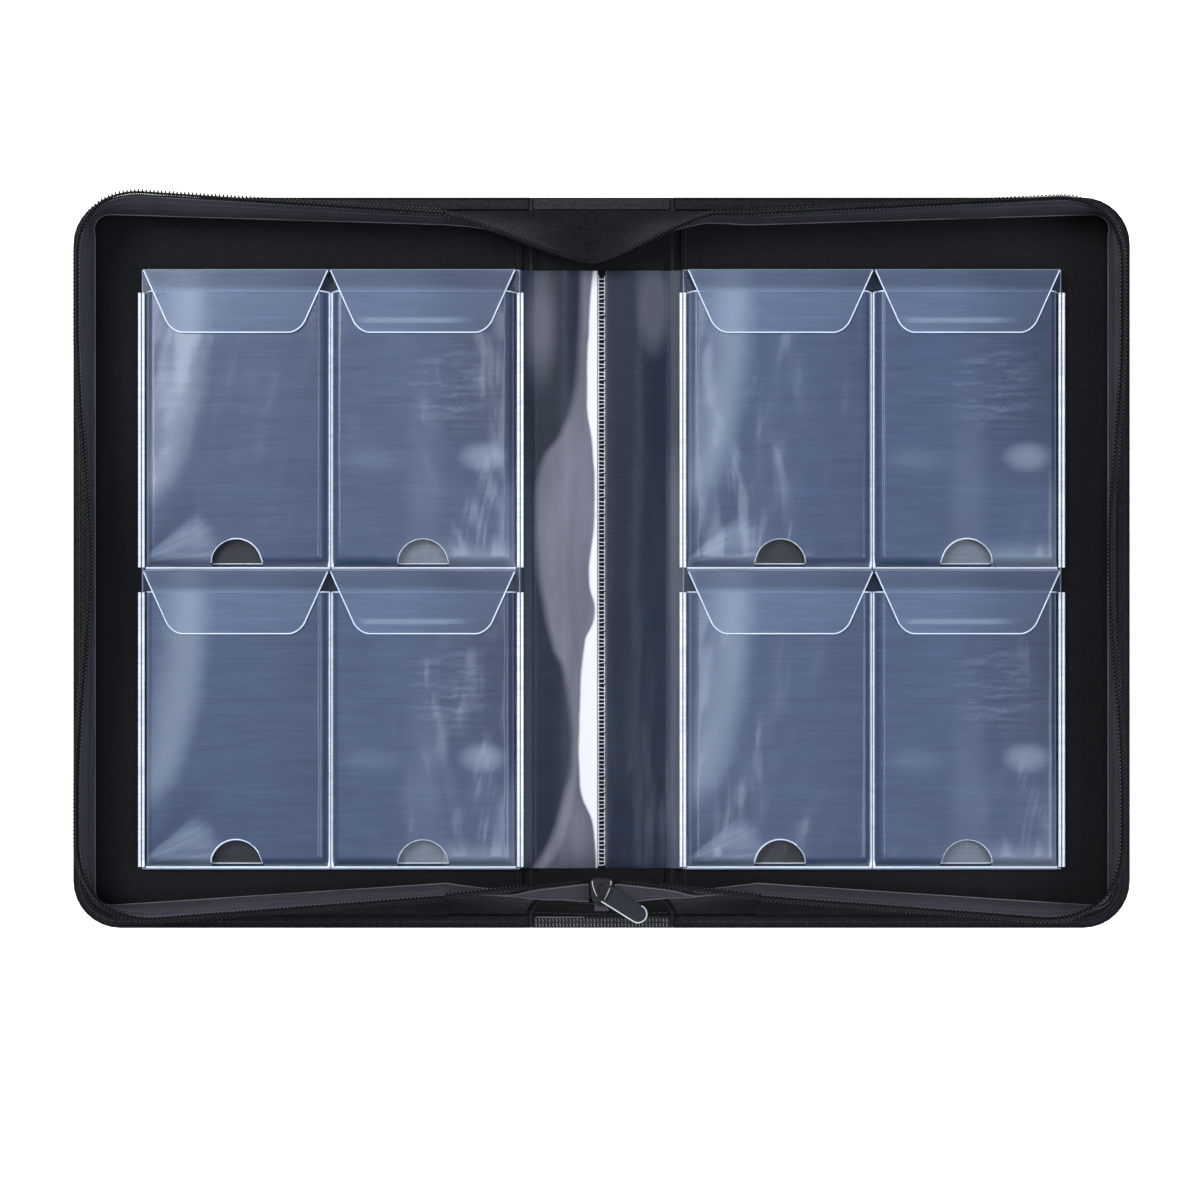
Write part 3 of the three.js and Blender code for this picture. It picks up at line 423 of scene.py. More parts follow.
@material
def film_like(
    g, tint, cover, light_and_shade_map=None, light=(0.16, 0.195, 0.26), gloss=0.09, depth=0.0005, level=0.5, haze=0.1
):
    """Clear flexible film over a milky body. A map of painted light and shade lightens parts of it with painted
    highlights, whitens them with painted glare and darkens them with painted shade.
    """
    where, marks = marked(g, "UV")
    film = use(g, film_wrinkles, where, Haze=haze)
    brushed = use(g, brushed_marks, where)["Tone"]
    tone = g.blend(g.band(brushed, 0.3, 0.7), shade(tint, 0.84), shade(tint, 1.14))
    opaque = g.clamp(film["Haze"] * 0.3 + cover + marks["Dust"] * 0.05)
    # Painted shade darkens the tone, painted highlights lighten it and make it more opaque, and painted glare whitens
    # it.
    if light_and_shade_map:
        painted_light_and_shade = use(g, light_and_shade_map, where)
        tone = g.blend(painted_light_and_shade["Dark"] * 0.6, tone, shade(tint, 0.25))
        tone = g.blend(painted_light_and_shade["Light"], tone, light)
        opaque = g.clamp(opaque + painted_light_and_shade["Light"] * 0.4)
        if "Glare" in painted_light_and_shade:
            tone = g.blend(painted_light_and_shade["Glare"], tone, (0.62, 0.62, 0.64))
            opaque = g.clamp(opaque + painted_light_and_shade["Glare"])
    normal = g.bump(film["Height"], depth, 0.5)
    facing = g.add("LayerWeight", {"Blend": 0.22, "Normal": normal}, out=1)
    roughness = g.band(marks["Fine"], 0.2, 0.8, gloss, gloss + 0.08)
    body = principled(g, tone, 0.35, normal, 0.15)
    clear = g.add("BsdfTransparent", {"Color": (0.93, 0.96, 1.0)})
    milky = g.add("MixShader", {0: g.clamp(opaque + facing * 0.3), 1: clear, 2: body})
    shine = g.add("BsdfGlossy", {"Color": (0.85, 0.92, 1.0), "Roughness": roughness, "Normal": normal})
    mirror = g.add("Fresnel", {"IOR": 1.45, "Normal": normal})
    return g.add("MixShader", {0: mirror * level, 1: milky, 2: shine})


LEATHER = leather_like("case_leather", "Object", (0.0035, 0.0037, 0.0042), (0.008, 0.0085, 0.0095), 0.18)
WALL_LEATHER = leather_like("wall_leather", "UV", (0.0026, 0.0028, 0.0035), (0.006, 0.0064, 0.0078), 0.11)
LINING = woven("lining_cloth", "Object", (0.0035, 0.0038, 0.0045), (0.0065, 0.0071, 0.0084))
TAPE = woven("zip_tape_cloth", "UV", (0.03, 0.03, 0.038), (0.05, 0.05, 0.063), 4200.0, 0.00015)
PATCH = woven("patch_cloth", "UV", (0.0015, 0.0016, 0.0019), (0.0045, 0.0047, 0.0055), 3600.0, 0.00015, level=0.06)
BOARD = woven("greyboard", "Object", (0.16, 0.15, 0.14), (0.24, 0.23, 0.21), 2100.0, rough=0.9)
BINDING = woven("binding_tape", "Object", (0.003, 0.003, 0.0035), (0.008, 0.008, 0.009), 4200.0, level=0.05)
COIL = moulded("coil_nylon", (0.0035, 0.0035, 0.0045), 0.45, 0.14)
# The welt cords along the tapes' edges are drawn pale, as painted highlight lines.
WELT_HIGHLIGHT = moulded("welt_cord", (0.085, 0.085, 0.102), 0.55, 0.3)
THREAD = moulded("sewing_thread", (0.016, 0.017, 0.02), 0.6, 0.25)
SEAM = moulded("seam_thread", (0.5, 0.52, 0.56), 0.5, 0.4)
SATIN = moulded("slider_satin", (0.004, 0.004, 0.005), 0.4, 0.2)
RUBBER = moulded("tab_rubber", (0.009, 0.0115, 0.017), 0.5, 0.15, 0.00006)
PALE_CORD = moulded("pale_cord", (0.17, 0.17, 0.185), 0.5, 0.4)
# The pale edge strands on the pull tab and the slider are painted highlights.
TAB_EDGE_HIGHLIGHT = moulded("tab_edge", (0.45, 0.47, 0.5), 0.4, 0.5)
# Each column's pocket and lid films carry painted highlights and painted shade from their map. The right column's
# notch backing is lighter and hazier, as a painted glint of the film beneath.
FRONTS, LIDS, BACKS = {}, {}, {}
for column, light_and_shade_map, back_tint_and_glint, back_haze_and_glint in (
    ("left", fan_of_light, (0.024, 0.026, 0.032), 0.1), ("right", scuffs_and_painted_light, (0.13, 0.15, 0.185), 0.4),
):
    FRONTS[column] = film_like(f"pocket_film_{column}", (0.06, 0.084, 0.15), 0.84, light_and_shade_map)
    LIDS[column] = film_like(
        f"flap_film_{column}", (0.15, 0.197, 0.31), 0.42, light_and_shade_map, light=(0.24, 0.29, 0.38), depth=0.00012, level=0.15
    )
    BACKS[column] = film_like(f"notch_film_{column}", back_tint_and_glint, 0.85, depth=0.0008, haze=back_haze_and_glint)
HEADER = film_like("header_film", (0.048, 0.06, 0.094), 0.6)
BORDER = film_like("page_border_film", (0.21, 0.25, 0.35), 0.85, gloss=0.14)
# The margins' films carry painted glare, painted highlights and painted shade.
MARGINS = {
    side: film_like(f"{name}_margin_film", tint, 0.9, light_and_shade_map, light=(0.13, 0.13, 0.168), level=0.06)
    for side, name, tint, light_and_shade_map in (
        ("front", "left", (0.008, 0.0135, 0.026), left_margin_glare),
        ("back", "right", (0.005, 0.012, 0.028), right_margin_glare),
    )
}
PAGE = film_like("page_film", (0.02, 0.031, 0.058), 0.7, level=0.3)
WELD = film_like("weld_line", (0.72, 0.76, 0.85), 0.9, gloss=0.16, level=0.9)
# The films' cut edges are drawn near white, as painted highlights.
CUT_EDGE_GLINT = film_like("film_cut_edge", (0.66, 0.74, 0.88), 0.9, gloss=0.12, level=1.0)


# Meshes.
def places(x, y, z):
    """Points from their coordinates, each an array or a number."""
    return np.stack(np.broadcast_arrays(x, y, z), axis=-1)


def add_object(name, data, place=(0, 0, 0)):
    made = bpy.data.objects.new(name, data)
    scene.collection.objects.link(made)
    made.location = place
    return made


def mesh_object(name, points, faces, look, uv=None, smooth=True):
    mesh = bpy.data.meshes.new(name)
    mesh.from_pydata((np.asarray(points, float).reshape(-1, 3) * MM).tolist(), [], faces)
    if uv is not None:
        layer = mesh.uv_layers.new(name="metres")
        corner = np.zeros(len(mesh.loops), np.int32)
        mesh.loops.foreach_get("vertex_index", corner)
        layer.data.foreach_set("uv", (uv.reshape(-1, 2)[corner] * MM).astype(np.float32).ravel())
    mesh.materials.append(look)
    made = add_object(name, mesh)
    tidy = bmesh.new()
    tidy.from_mesh(mesh)
    bmesh.ops.recalc_face_normals(tidy, faces=tidy.faces)
    bmesh.ops.delete(tidy, geom=[v for v in tidy.verts if not v.link_faces], context="VERTS")
    tidy.to_mesh(mesh)
    tidy.free()
    mesh.polygons.foreach_set("use_smooth", [smooth] * len(mesh.polygons))
    if smooth:
        mesh.set_sharp_from_angle(angle=math.radians(50))
    return made


def quads(at, columns, *corners):
    """Faces at the true places of a grid. corners are the steps from a place to a face's corners."""
    return [tuple(int(i) * columns + int(j) + corner for corner in corners) for i, j in np.argwhere(at)]


def solid_sheet(name, over, under, look, uv=None, keep=None):
    """A thin closed sheet between two grids of points. keep says which quads it has."""
    rows, columns = over.shape[:2]
    count = rows * columns
    kept = np.pad(np.ones((rows - 1, columns - 1), bool) if keep is None else keep, 1)
    inside = kept[1:-1, 1:-1]
    faces = quads(inside, columns, 0, 1, columns + 1, columns)
    faces += quads(inside, columns, count, count + 1, count + columns + 1, count + columns)
    faces += quads(kept[:-1, 1:-1] != kept[1:, 1:-1], columns, 0, 1, 1 + count, count)
    faces += quads(kept[1:-1, :-1] != kept[1:-1, 1:], columns, 0, columns, columns + count, count)
    uv = sheet_uv(over) if uv is None else uv
    return mesh_object(name, np.stack([over, under]), faces, look, np.stack([uv, uv]))


def tube(points, radius, sides=6, normals=None):
    """Points and faces of a round strand along a path."""
    points = np.asarray(points, float)
    along = np.gradient(points, axis=0)
    along /= np.linalg.norm(along, axis=1)[:, None] + 1e-12
    if normals is None:
        helper = np.where(np.abs(along[:, 2:3]) > 0.9, [[1.0, 0, 0]], [[0, 0, 1.0]])
        normals = np.cross(along, helper)
    normals = normals - (normals * along).sum(1)[:, None] * along
    normals /= np.linalg.norm(normals, axis=1)[:, None] + 1e-12
    across = np.cross(along, normals)
    angle = np.linspace(0, 2 * np.pi, sides, endpoint=False)[:, None]
    ring = points[:, None] + radius * (np.cos(angle) * normals[:, None] + np.sin(angle) * across[:, None])
    last = (len(points) - 1) * sides
    turned = [(k, (k + 1) % sides) for k in range(sides)]
    faces = [(s + k, s + n, s + sides + n, s + sides + k) for s in range(0, last, sides) for k, n in turned]
    faces += [tuple(range(sides)), tuple(range(last, last + sides))]
    return ring.reshape(-1, 3), faces


def merged(name, parts, look):
    """One mesh of several parts, each given as points and faces."""
    points, faces, start = [], [], 0
    for some, quads_of in parts:
        points.append(some)
        faces += [tuple(index + start for index in quad) for quad in quads_of]
        start += len(some)
    points = np.concatenate(points)
    return mesh_object(name, points, faces, look, points[:, :2])


def strands(name, paths, radius, look, sides=6):
    return merged(name, [tube(path, radius, sides) for path in paths], look)


def running(path):
    """The distance run along a path at each of its points."""
    return np.concatenate([[0], np.cumsum(np.linalg.norm(np.diff(path, axis=0), axis=1))])


def follow(path, run, s):
    return np.stack([np.interp(s, run, path[:, k]) for k in range(3)], axis=-1)


def stitches(path, length=2.9, gap=1.0, height=0.32):
    """Short bowed threads along a path of points."""
    run = running(path)
    made = []
    for start in np.arange(0.4, run[-1] - length, length + gap):
        points = follow(path, run, start + length * np.linspace(0, 1, 5))
        points[:, 2] += height * np.array([-0.6, 0.6, 1, 0.6, -0.6])
        made.append(points)
    return made


def ripple(x, y, wave, seed, octaves=4):
    """A smooth random height between about -1 and 1. wave is its longest wavelength."""
    rng = np.random.default_rng(seed)
    total, weight = 0.0, 0.0
    for octave in range(octaves):
        share = 0.55 ** octave
        k = 2 * np.pi * 1.8 ** octave / wave
        for _ in range(3):
            turn, phase = rng.uniform(0, 2 * np.pi, 2)
            total = total + share * np.sin(k * (x * np.cos(turn) + y * np.sin(turn)) + phase)
            weight += share
    return total / weight * 1.6


def unit(v):
    return np.clip(v, 0, 1)


def smooth(v):
    v = unit(v)
    return v * v * (3 - 2 * v)


def swell(v):
    """A rise from 0 to 1 that starts steep and ends level."""
    return np.sin(np.pi / 2 * unit(v))


def mix(a, b, share):
    return a + (b - a) * share


def dress(made, nodes):
    if nodes:
        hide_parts(*nodes)
    return made


def ride(made, body, slot, *nodes):
    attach(made, body)
    return dress(made, nodes)


def bridge(made, first, second, start, end, slot, *nodes):
    """Bakes a piece's place into its mesh and hides the parts it replaces. The two bodies and the x span it is given
    are not used.
    """
    start * MM
    end * MM
    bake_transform(made)
    dress(made, nodes)


def sew(name, lines, radius, look, body, slot, sides=6):
    ride(strands(name, lines, radius, look, sides), body, slot)


def sheet_uv(over):
    """Distances along the rows and columns of a grid, for the weave."""
    rows, columns = over.shape[:2]
    return np.stack(np.meshgrid(running(over[:, columns // 2]), running(over[rows // 2]), indexing="ij"), axis=-1)


def declare(made):
    """Measures a sheet's laid-out size from its UVs, and returns early for a tape of 10 mm or less; the size is not
    used further.
    """
    uv = np.zeros(len(made.data.loops) * 2, np.float32)
    made.data.uv_layers[0].data.foreach_get("uv", uv)
    size = np.ptp(uv.reshape(-1, 2), axis=0).tolist()
    if min(size) < 0.0101:
        return


def coil(name, path, sideways):
    """A row of looped coil teeth along a path. sideways points across the chain at each place."""
    pitch, wide, high, wire, core, turns = 1.9, 1.45, 1.05, 0.36, 0.62, 8
    run = running(path)
    s = np.arange(0, run[-1], pitch / turns)
    centre, side = follow(path, run, s), follow(sideways, run, s)
    side /= np.linalg.norm(side, axis=1)[:, None]
    along = np.gradient(centre, axis=0)
    along /= np.linalg.norm(along, axis=1)[:, None]
    up = np.cross(along, side)
    angle = 2 * np.pi * s / pitch
    c, n = np.cos(angle)[:, None], np.sin(angle)[:, None]
    teeth = tube(centre + wide * c * side + high * n * up, wire, 5, normals=c * side + n * up)
    return merged(name, [teeth, tube(centre[::4], core)], COIL)


# The cover's edge path and the wall over it, as in the CAD source. x is measured from the hinge line.
def edge_at(t):
    t = np.asarray(t, float)
    foot = t > EDGE / 2
    s = np.where(foot, EDGE - t, t)
    angle = np.pi / 2 - np.clip((s - HEAD_RUN) / CORNER, 0, np.pi / 2)
    nx, ny = np.cos(angle), np.sin(angle)
    x = np.where(s < HEAD_RUN, s, HEAD_RUN + CORNER * nx)
    y = HALF_HEIGHT - CORNER + CORNER * ny - np.clip(s - HEAD_RUN - ARC, 0, None)
    sign = np.where(foot, -1.0, 1.0)
    return {"x": x, "y": y * sign, "nx": nx, "ny": ny * sign, "foot": foot}


def upright(e):
    """The same places as columns, for grids that have the heights in their rows."""
    return {key: value[:, None] for key, value in e.items()}


def straight_insets(e, side, head, foot, wave):
    to_spine = 1 - unit((e["x"] - 42) / (HEAD_RUN - 42))
    end = np.where(e["foot"], mix(foot[0], foot[1], to_spine), mix(head[0], head[1], to_spine))
    return side + wave * (0.5 + 0.5 * np.cos(np.pi * unit(np.abs(e["y"]) / 115))), end


def knee_inset(e):
    side, end = straight_insets(e, 14.5, (11, 16), (13, 24), 0)
    return mix(side, end, smooth(np.abs(e["ny"])))


def top_inset(e):
    """The way in along the edge's normal to the wall's top, which turns the corner on a wide arc."""
    slack = e.get("slack", 0.0)
    side, end = straight_insets(e, 10 + slack, (2.5 + 1.5 * slack, 13), (6, 19), 7)
    radius = np.where(e["foot"], 42.0, 34.0)
    nx, ny = e["nx"], np.abs(e["ny"])
    from_x = e["x"] - (COVER_WIDTH - side - radius)
    from_y = np.abs(e["y"]) - (HALF_HEIGHT - end - radius)
    along = from_x * nx + from_y * ny
    to_arc = along - np.sqrt(np.clip(radius ** 2 + along ** 2 - from_x ** 2 - from_y ** 2, 0, None))
    to_end = (from_y - radius) / np.maximum(ny, 1e-9)
    to_side = (from_x - radius) / np.maximum(nx, 1e-9)
    inside = np.where(from_y - to_arc * ny < 0, to_side, to_arc)
    return np.where(from_x - to_arc * nx < 0, to_end, inside)


def wall_inset(e, z):
    knee, top = knee_inset(e), top_inset(e)
    climb = swell((z - FOOT_Z) / (KNEE_Z - FOOT_Z))
    rise = 1 - np.cos(np.pi / 2 * unit((z - KNEE_Z) / (COIL_TOP - KNEE_Z)))
    return np.where(z < KNEE_Z, mix(FOOT_INSET, knee, climb), mix(knee, top, rise))


def offset(inset, z, distance):
    """Moves a section inwards by a distance, or outwards by a negative one."""
    run = np.gradient(inset, axis=1)
    rise = np.gradient(z, axis=1)
    length = np.hypot(run, rise) + 1e-9
    return inset + distance * rise / length, z - distance * run / length


def on_edge(e, inset, z, sign):
    x = e["x"][:, None] - e["nx"][:, None] * inset
    y = e["y"][:, None] - e["ny"][:, None] * inset
    return places(sign * (HINGE_X + x), y, z)


def wall_line(e, level, inward, sign):
    """A line along the wall at one height, a little way in from it."""
    return on_edge(e, wall_inset(upright(e), level) + inward, level, sign)[:, 0]


def wall_sheet(name, e, inset, z, near, far, sign, look):
    return solid_sheet(name, *(on_edge(e, *offset(inset, z, distance), sign) for distance in (near, far)), look)


def pucker(t, z, sign):
    return ripple(t[:, None], z * 2.2, 46, 3 + sign) * 0.28 * smooth((z - 3.2) / 6)


# Zip walls of the covers.
for side, sign in SIDES.items():
    body = f"{side}_cover"
    t = np.linspace(WALL_START, EDGE - WALL_START, int((EDGE - 2 * WALL_START) / WALL_STEP))
    e = edge_at(t)
    e["slack"] = np.full(len(t), SLACK[side])
    z = np.tile(np.linspace(FOOT_Z, GUSSET_TOP, 12), (len(t), 1))
    inset = np.hstack([np.tile([HEM_IN, 2.6, 3.8, 5.0, HEM_OUT, 6.9], (len(t), 1)), wall_inset(upright(e), z)])
    z = np.hstack([np.tile([HEM_Z, HEM_Z, HEM_Z, HEM_Z, HEM_Z + 0.15, 2.75], (len(t), 1)), z])
    inset = inset + pucker(t, z, sign)
    wall = wall_sheet(f"{side}_wall_skin", e, inset, z, -SKIN_HALF, SKIN_HALF, sign, WALL_LEATHER)
    declare(ride(wall, body, "leather", f"{side}_zip_gusset"))

    for end, start, stop in (("head", 1.5, WALL_START - 0.1), ("foot", EDGE - WALL_START + 0.1, EDGE - 1.5)):
        flat = np.tile([HEM_IN, 3.0, 5.0, HEM_OUT, 6.5], (14, 1))
        up = np.tile([HEM_Z, HEM_Z, HEM_Z, HEM_Z, 2.6], (14, 1))
        beside = edge_at(np.linspace(start, stop, 14))
        hem = wall_sheet(f"{side}_{end}_hem_strip", beside, flat, up, -SKIN_HALF, SKIN_HALF, sign, WALL_LEATHER)
        ride(hem, body, "leather")

    z = np.tile(np.linspace(KNEE_Z - 0.2, TAPE_TOP + 0.5, 9), (len(t), 1))
    inset = wall_inset(upright(e), z) + pucker(t, z, sign)
    tape = wall_sheet(f"{side}_tape_web", e, inset, z, TAPE_NEAR, TAPE_FAR, sign, TAPE)
    declare(ride(tape, body, "tape", f"{side}_zip_tape"))

    teeth = coil(f"{side}_coil_teeth", wall_line(e, COIL_Z, 1.0, sign), places(sign * e["nx"], e["ny"], 0.0))
    ride(teeth, body, "coil", f"{side}_zip_coil")

    sew(f"{side}_tape_cord", [wall_line(e, CORD_Z, LINE_OUT, sign)], 0.28, TAPE, body, "tape")
    for name, level in (("upper", TAPE_TOP + 0.4), ("lower", KNEE_Z + 1.0)):
        sew(f"{side}_{name}_welt", [wall_line(e, level, WELT_OUT, sign)], 0.3, WELT_HIGHLIGHT, body, "tape")
    seam = stitches(wall_line(e, SEAM_Z, LINE_OUT, sign), 2.4, 0.9, 0.0)
    sew(f"{side}_tape_seam", seam, 0.24, THREAD, body, "tape")

    around = edge_at(np.linspace(2.0, EDGE - 2.0, 420))
    seam = stitches(on_edge(around, HEM_SEAM_IN, HEM_SEAM_Z, sign)[:, 0])
    sew(f"{side}_hem_seam", seam, 0.27, THREAD, body, "leather")
    groove = places(sign * 42.6, np.linspace(-170, 170, 100), 4.06)
    sew(f"{side}_hinge_seam", stitches(groove, 2.6, 1.4, 0.12), 0.2, THREAD, body, "lining")


# Gussets across the spine's ends, each in two halves between the spine and a cover.
def end_levels(end):
    e = upright(edge_at(np.array([42.0 if end > 0 else EDGE - 42.0])))
    z = np.array([[FOOT_Z + 0.3, mix(FOOT_Z, KNEE_Z, 0.4), KNEE_Z, 23.75, GUSSET_TOP, TAPE_TOP]])
    return wall_inset(e, z)[0], z[0]


def end_grid(xs, end, low, high, steps):
    """Inset and height of the end gusset at each x, between two of its levels."""
    inset0, z0 = end_levels(end)
    shares = np.array([0, 0.3, 0.5, 0.66, 0.83, 1])
    if end > 0:
        rim, lip = HEAD_TIP, 0
        reach = np.where(xs < rim[0], HEAD_REACH[0], HEAD_REACH[1])
        share = unit(1 - (np.sqrt((xs - rim[0]) ** 2 + 9) - 3) / reach)
        share = mix(share, smooth(share), 0.35)
    else:
        rim, lip = FOOT_RIM, LIP_WIDTH * unit((shares - 0.5) / 0.5) ** 2
        share = 1 - unit((np.abs(xs) - rim[0]) / (GUSSET_REACH - rim[0]))
    share = share[:, None]
    inset = mix(inset0, mix(FOOT_INSET, rim[1], shares) + lip, share)
    z = mix(z0, mix(FOOT_Z + 0.3, rim[2], shares), share)
    low, high = (np.broadcast_to(level, xs.shape)[:, None] for level in (low, high))
    at = mix(low, high, np.linspace(0, 1, steps))
    inset, z = (
        np.stack([np.interp(where, np.arange(6), row) for where, row in zip(at, rows)]) for rows in (inset, z)
    )
    hem = smooth(at / 1.2) * smooth((RIM_LEVEL - at) / 1.0 + 0.2)
    to_cover = smooth((GUSSET_REACH - np.abs(xs[:, None])) / 12)
    return inset + ripple(xs[:, None], z * 3, 38, 11 + end) * 0.5 * hem * to_cover, z


def tape_low(xs):
    """The level of the end tapes' lower edge, which meets the walls' tapes at the knee."""
    return 1.95 + 1.05 * smooth((GUSSET_REACH - np.abs(xs)) / 40)


def end_places(xs, end, levels, steps, distance):
    """Places on the end gusset, from one level to another and moved in by a distance."""
    inset, z = offset(*end_grid(xs, end, *levels, steps), distance)
    return places(xs[:, None], end * (HALF_HEIGHT - inset), z)


def bend(made, sign, slot, *nodes):
    bridge(made, "spine", "front_cover" if sign < 0 else "back_cover", sign * 14, sign * 60, slot, *nodes)


def end_sheet(name, xs, end, levels, steps, near, far, look, slot, sign, node):
    made = solid_sheet(name, *(end_places(xs, end, levels, steps, distance) for distance in (near, far)), look)
    declare(made)
    bend(made, sign, slot, node)


def end_cords(name, xs, end, levels, distance, radius, sign):
    lines = [end_places(xs, end, (level, level + 0.1), 2, distance)[:, 0] for level in levels]
    bend(strands(name, lines, radius, WELT_HIGHLIGHT), sign, "tape")


for side, sign in SIDES.items():
    head_xs = np.linspace(HEAD_TIP[0], sign * GUSSET_REACH, 44)
    foot_xs = np.linspace(0, sign * GUSSET_REACH, 44)
    tape_xs = np.linspace(sign * 10, sign * GUSSET_REACH, 40)
    lip_xs = np.linspace(sign * LIP_START, sign * LIP_END, 36)
    lip_top = 3.2 + 1.75 * smooth((LIP_END - np.abs(lip_xs)) / 30)
    foot_tape = f"{side}_foot_tape"
    skin = (0, RIM_LEVEL), 18, -SKIN_HALF, SKIN_HALF, WALL_LEATHER, "leather", sign
    tape = 9, TAPE_NEAR, TAPE_FAR, TAPE, "tape", sign
    end_sheet(f"{side}_head_fold", head_xs, 1, *skin, "head_gusset")
    end_sheet(f"{side}_head_tape", head_xs, 1, (tape_low(head_xs), RIM_LEVEL), *tape, "head_zip_tape")
    end_sheet(f"{side}_foot_fold", foot_xs, -1, *skin, "foot_gusset")
    end_sheet(f"{side}_foot_web", tape_xs, -1, (tape_low(tape_xs), RIM_LEVEL), *tape, foot_tape)
    end_sheet(
        f"{side}_foot_lip_web", lip_xs, -1, (LIP_LEVEL, lip_top), 7, -1.4, -0.8, TAPE, "tape", sign, foot_tape
    )
    end_cords(f"{side}_foot_lip_welts", lip_xs, -1, (LIP_LEVEL - 0.05, lip_top - 0.05), -LINE_OUT, 0.24, sign)
    for label, end, xs in (("head", 1, head_xs), ("foot", -1, tape_xs)):
        rim_path = end_places(xs, end, (RIM_LEVEL - 1, RIM_LEVEL), 2, 0)[:, 1]
        lift = smooth((np.abs(xs) - 20) / 56)
        rim_path = rim_path + places(0 * xs, -end * (0.4 + 0.6 * lift), 0.9 + 1.15 * lift)
        sideways = np.tile([0.0, -1.0 * end, 0.25], (len(xs), 1))
        bend(coil(f"{side}_{label}_coil", rim_path, sideways), sign, "coil")
        end_cords(f"{side}_{label}_welts", xs, end, (tape_low(xs) + 0.15, RIM_LEVEL - 0.15), WELT_OUT, 0.3, sign)
    over, under = (np.stack([
        end_places(sign * np.linspace(0, 1, 20) * half, -1, (0.15, 3.0), 12, distance)[:, k]
        for k, half in enumerate(np.linspace(38.0, 30.0, 12))
    ], axis=1) for distance in (-1.25, -0.72))
    patch = solid_sheet(f"{side}_foot_patch", over, under, PATCH)
    declare(patch)
    bend(patch, sign, "leather", "foot_patch")
    sewn = []
    for line in (over[:, 1], over[:, -2], over[-2]):
        sewn += stitches(line + [0, -0.1, 0.1], 2.2, 0.9, 0.15)
    bend(strands(f"{side}_patch_seam", sewn, 0.22, THREAD), sign, "leather")

hem_lines = []
for end in (-1, 1):
    hem_lines += stitches(places(np.linspace(-34, 34, 60), end * 182.3, HEM_SEAM_Z))
sew("spine_hem_seam", hem_lines, 0.27, THREAD, "spine", "leather")
whip, run = [], np.linspace(0, 1, 4)
for x in np.arange(-33.5, 33.6, 1.75):
    for y0, y1 in ((-181.0, -182.7), (-183.3, -185.0)):
        whip.append(places(x + 0.35 * run, mix(y0, y1, run), 2.68 + 0.25 * np.sin(np.pi * run)))
whip.append(places(np.linspace(-33, -9, 20), -180.3, 2.75))
sew("foot_whip_stitches", whip, 0.2, PALE_CORD, "spine", "leather", 5)


# Film margins beside the binding strip, in two strips that meet at the leaf's crease.
def margin(side, sign, part, x0, x1, columns):
    xs = np.linspace(x0, x1, columns)
    ys = np.linspace(LEAF_FOOT, LEAF_HEAD, 110)
    arch = np.sin(np.pi * unit((xs - MARGIN_IN) / (CREASE - MARGIN_IN))) ** 2
    base = mix(4.5, CORE_BOTTOM + 0.05, smooth((xs - 33) / 8))
    wave = (0.9 + 0.5 * ripple(xs[:, None] * 0.6, ys, 150, 21 + sign, 3)) * arch[:, None]
    over = places(sign * xs[:, None], ys, base[:, None] + np.clip(wave, 0, 1.9) + 0.45)
    made = solid_sheet(f"{side}_margin_{part}", over, over - [0, 0, 0.45], MARGINS[side], over[..., :2])
    declare(made)
    return made


for side, sign in SIDES.items():
    cover, node = f"{side}_cover", f"{side}_margin_film"
    inner = margin(side, sign, "inner", MARGIN_IN, CREASE, 40)
    bridge(inner, "spine", cover, sign * 27, sign * CREASE, "film", node)
    outer = margin(side, sign, "outer", CREASE, MARGIN_OUT, 8)
    bridge(outer, cover, f"{side}_leaf", sign * 36.7, sign * 41.3, "film", node)

overcast = []
wander = np.random.default_rng(5)
for y in np.arange(LEAF_FOOT + 1.5, LEAF_HEAD - 3.0, SEAM_PITCH):
    slant, jog = wander.uniform(-0.5, 0.5), wander.uniform(0.5, 1.0)
    overcast += [np.array(line) for line in (
        [(-1.6, y, 5.6), (-0.8, y + 0.2 * slant, 5.82), (0.8, y + 0.6 * slant, 5.82), (1.6, y + slant, 5.6)],
        [(-1.62, y, 5.62), (-1.5, y + jog, 5.76), (-1.62, y + SEAM_PITCH, 5.62)],
        [(1.62, y + slant, 5.62), (1.5, y + jog + slant, 5.76), (1.62, y + 1.7 + slant, 5.62)],
    )]
sew("binding_overcast", overcast, 0.23, SEAM, "spine", "leather", 5)


# Strips that close the grooves at the hinge lines, under the linings' edges.
for side, sign in SIDES.items():
    over = places(sign * np.linspace(35.45, 36.55, 5)[:, None], np.linspace(-185.7, 185.7, 60), 1.7)
    web = solid_sheet(f"{side}_hinge_web", over, over - [0, 0, 0.4], LEATHER, over[..., :2])
    bridge(web, "spine", f"{side}_cover", sign * 35.5, sign * 36.5, "leather")


# Leaves.
def cells(sign):
    """Each pocket's name, the x of its middle, the y of its foot, and its column as seen from above."""
    for row, up in (("upper", ROW), ("lower", 0)):
        for name, way in (("inner", -1), ("outer", 1)):
            x = LEAF_X + LEAF_WIDTH / 2 + way * COLUMN / 2
            yield f"{row}_{name}", x, LEAF_FOOT + up + 0.5, "right" if way * sign > 0 else "left"


def cell_uv(x, y, x0, y0, sign):
    """Places in a pocket measured from its lower left corner as seen from above."""
    left = sign * x0 - POCKET_WIDTH / 2 - FILM_OVER
    return np.stack(np.broadcast_arrays(sign * x - left, y - y0), axis=-1)


def page_film(name, z, seed, sign):
    x, y = np.meshgrid(
        sign * np.linspace(LEAF_X, LEAF_X + LEAF_WIDTH, 60), np.linspace(LEAF_FOOT, LEAF_HEAD, 90), indexing="ij"
    )
    over = places(x, y, z + 0.1 * ripple(x, y, 130, seed) + 0.25)
    return solid_sheet(name, over, over - [0, 0, 0.5], PAGE, over[..., :2])


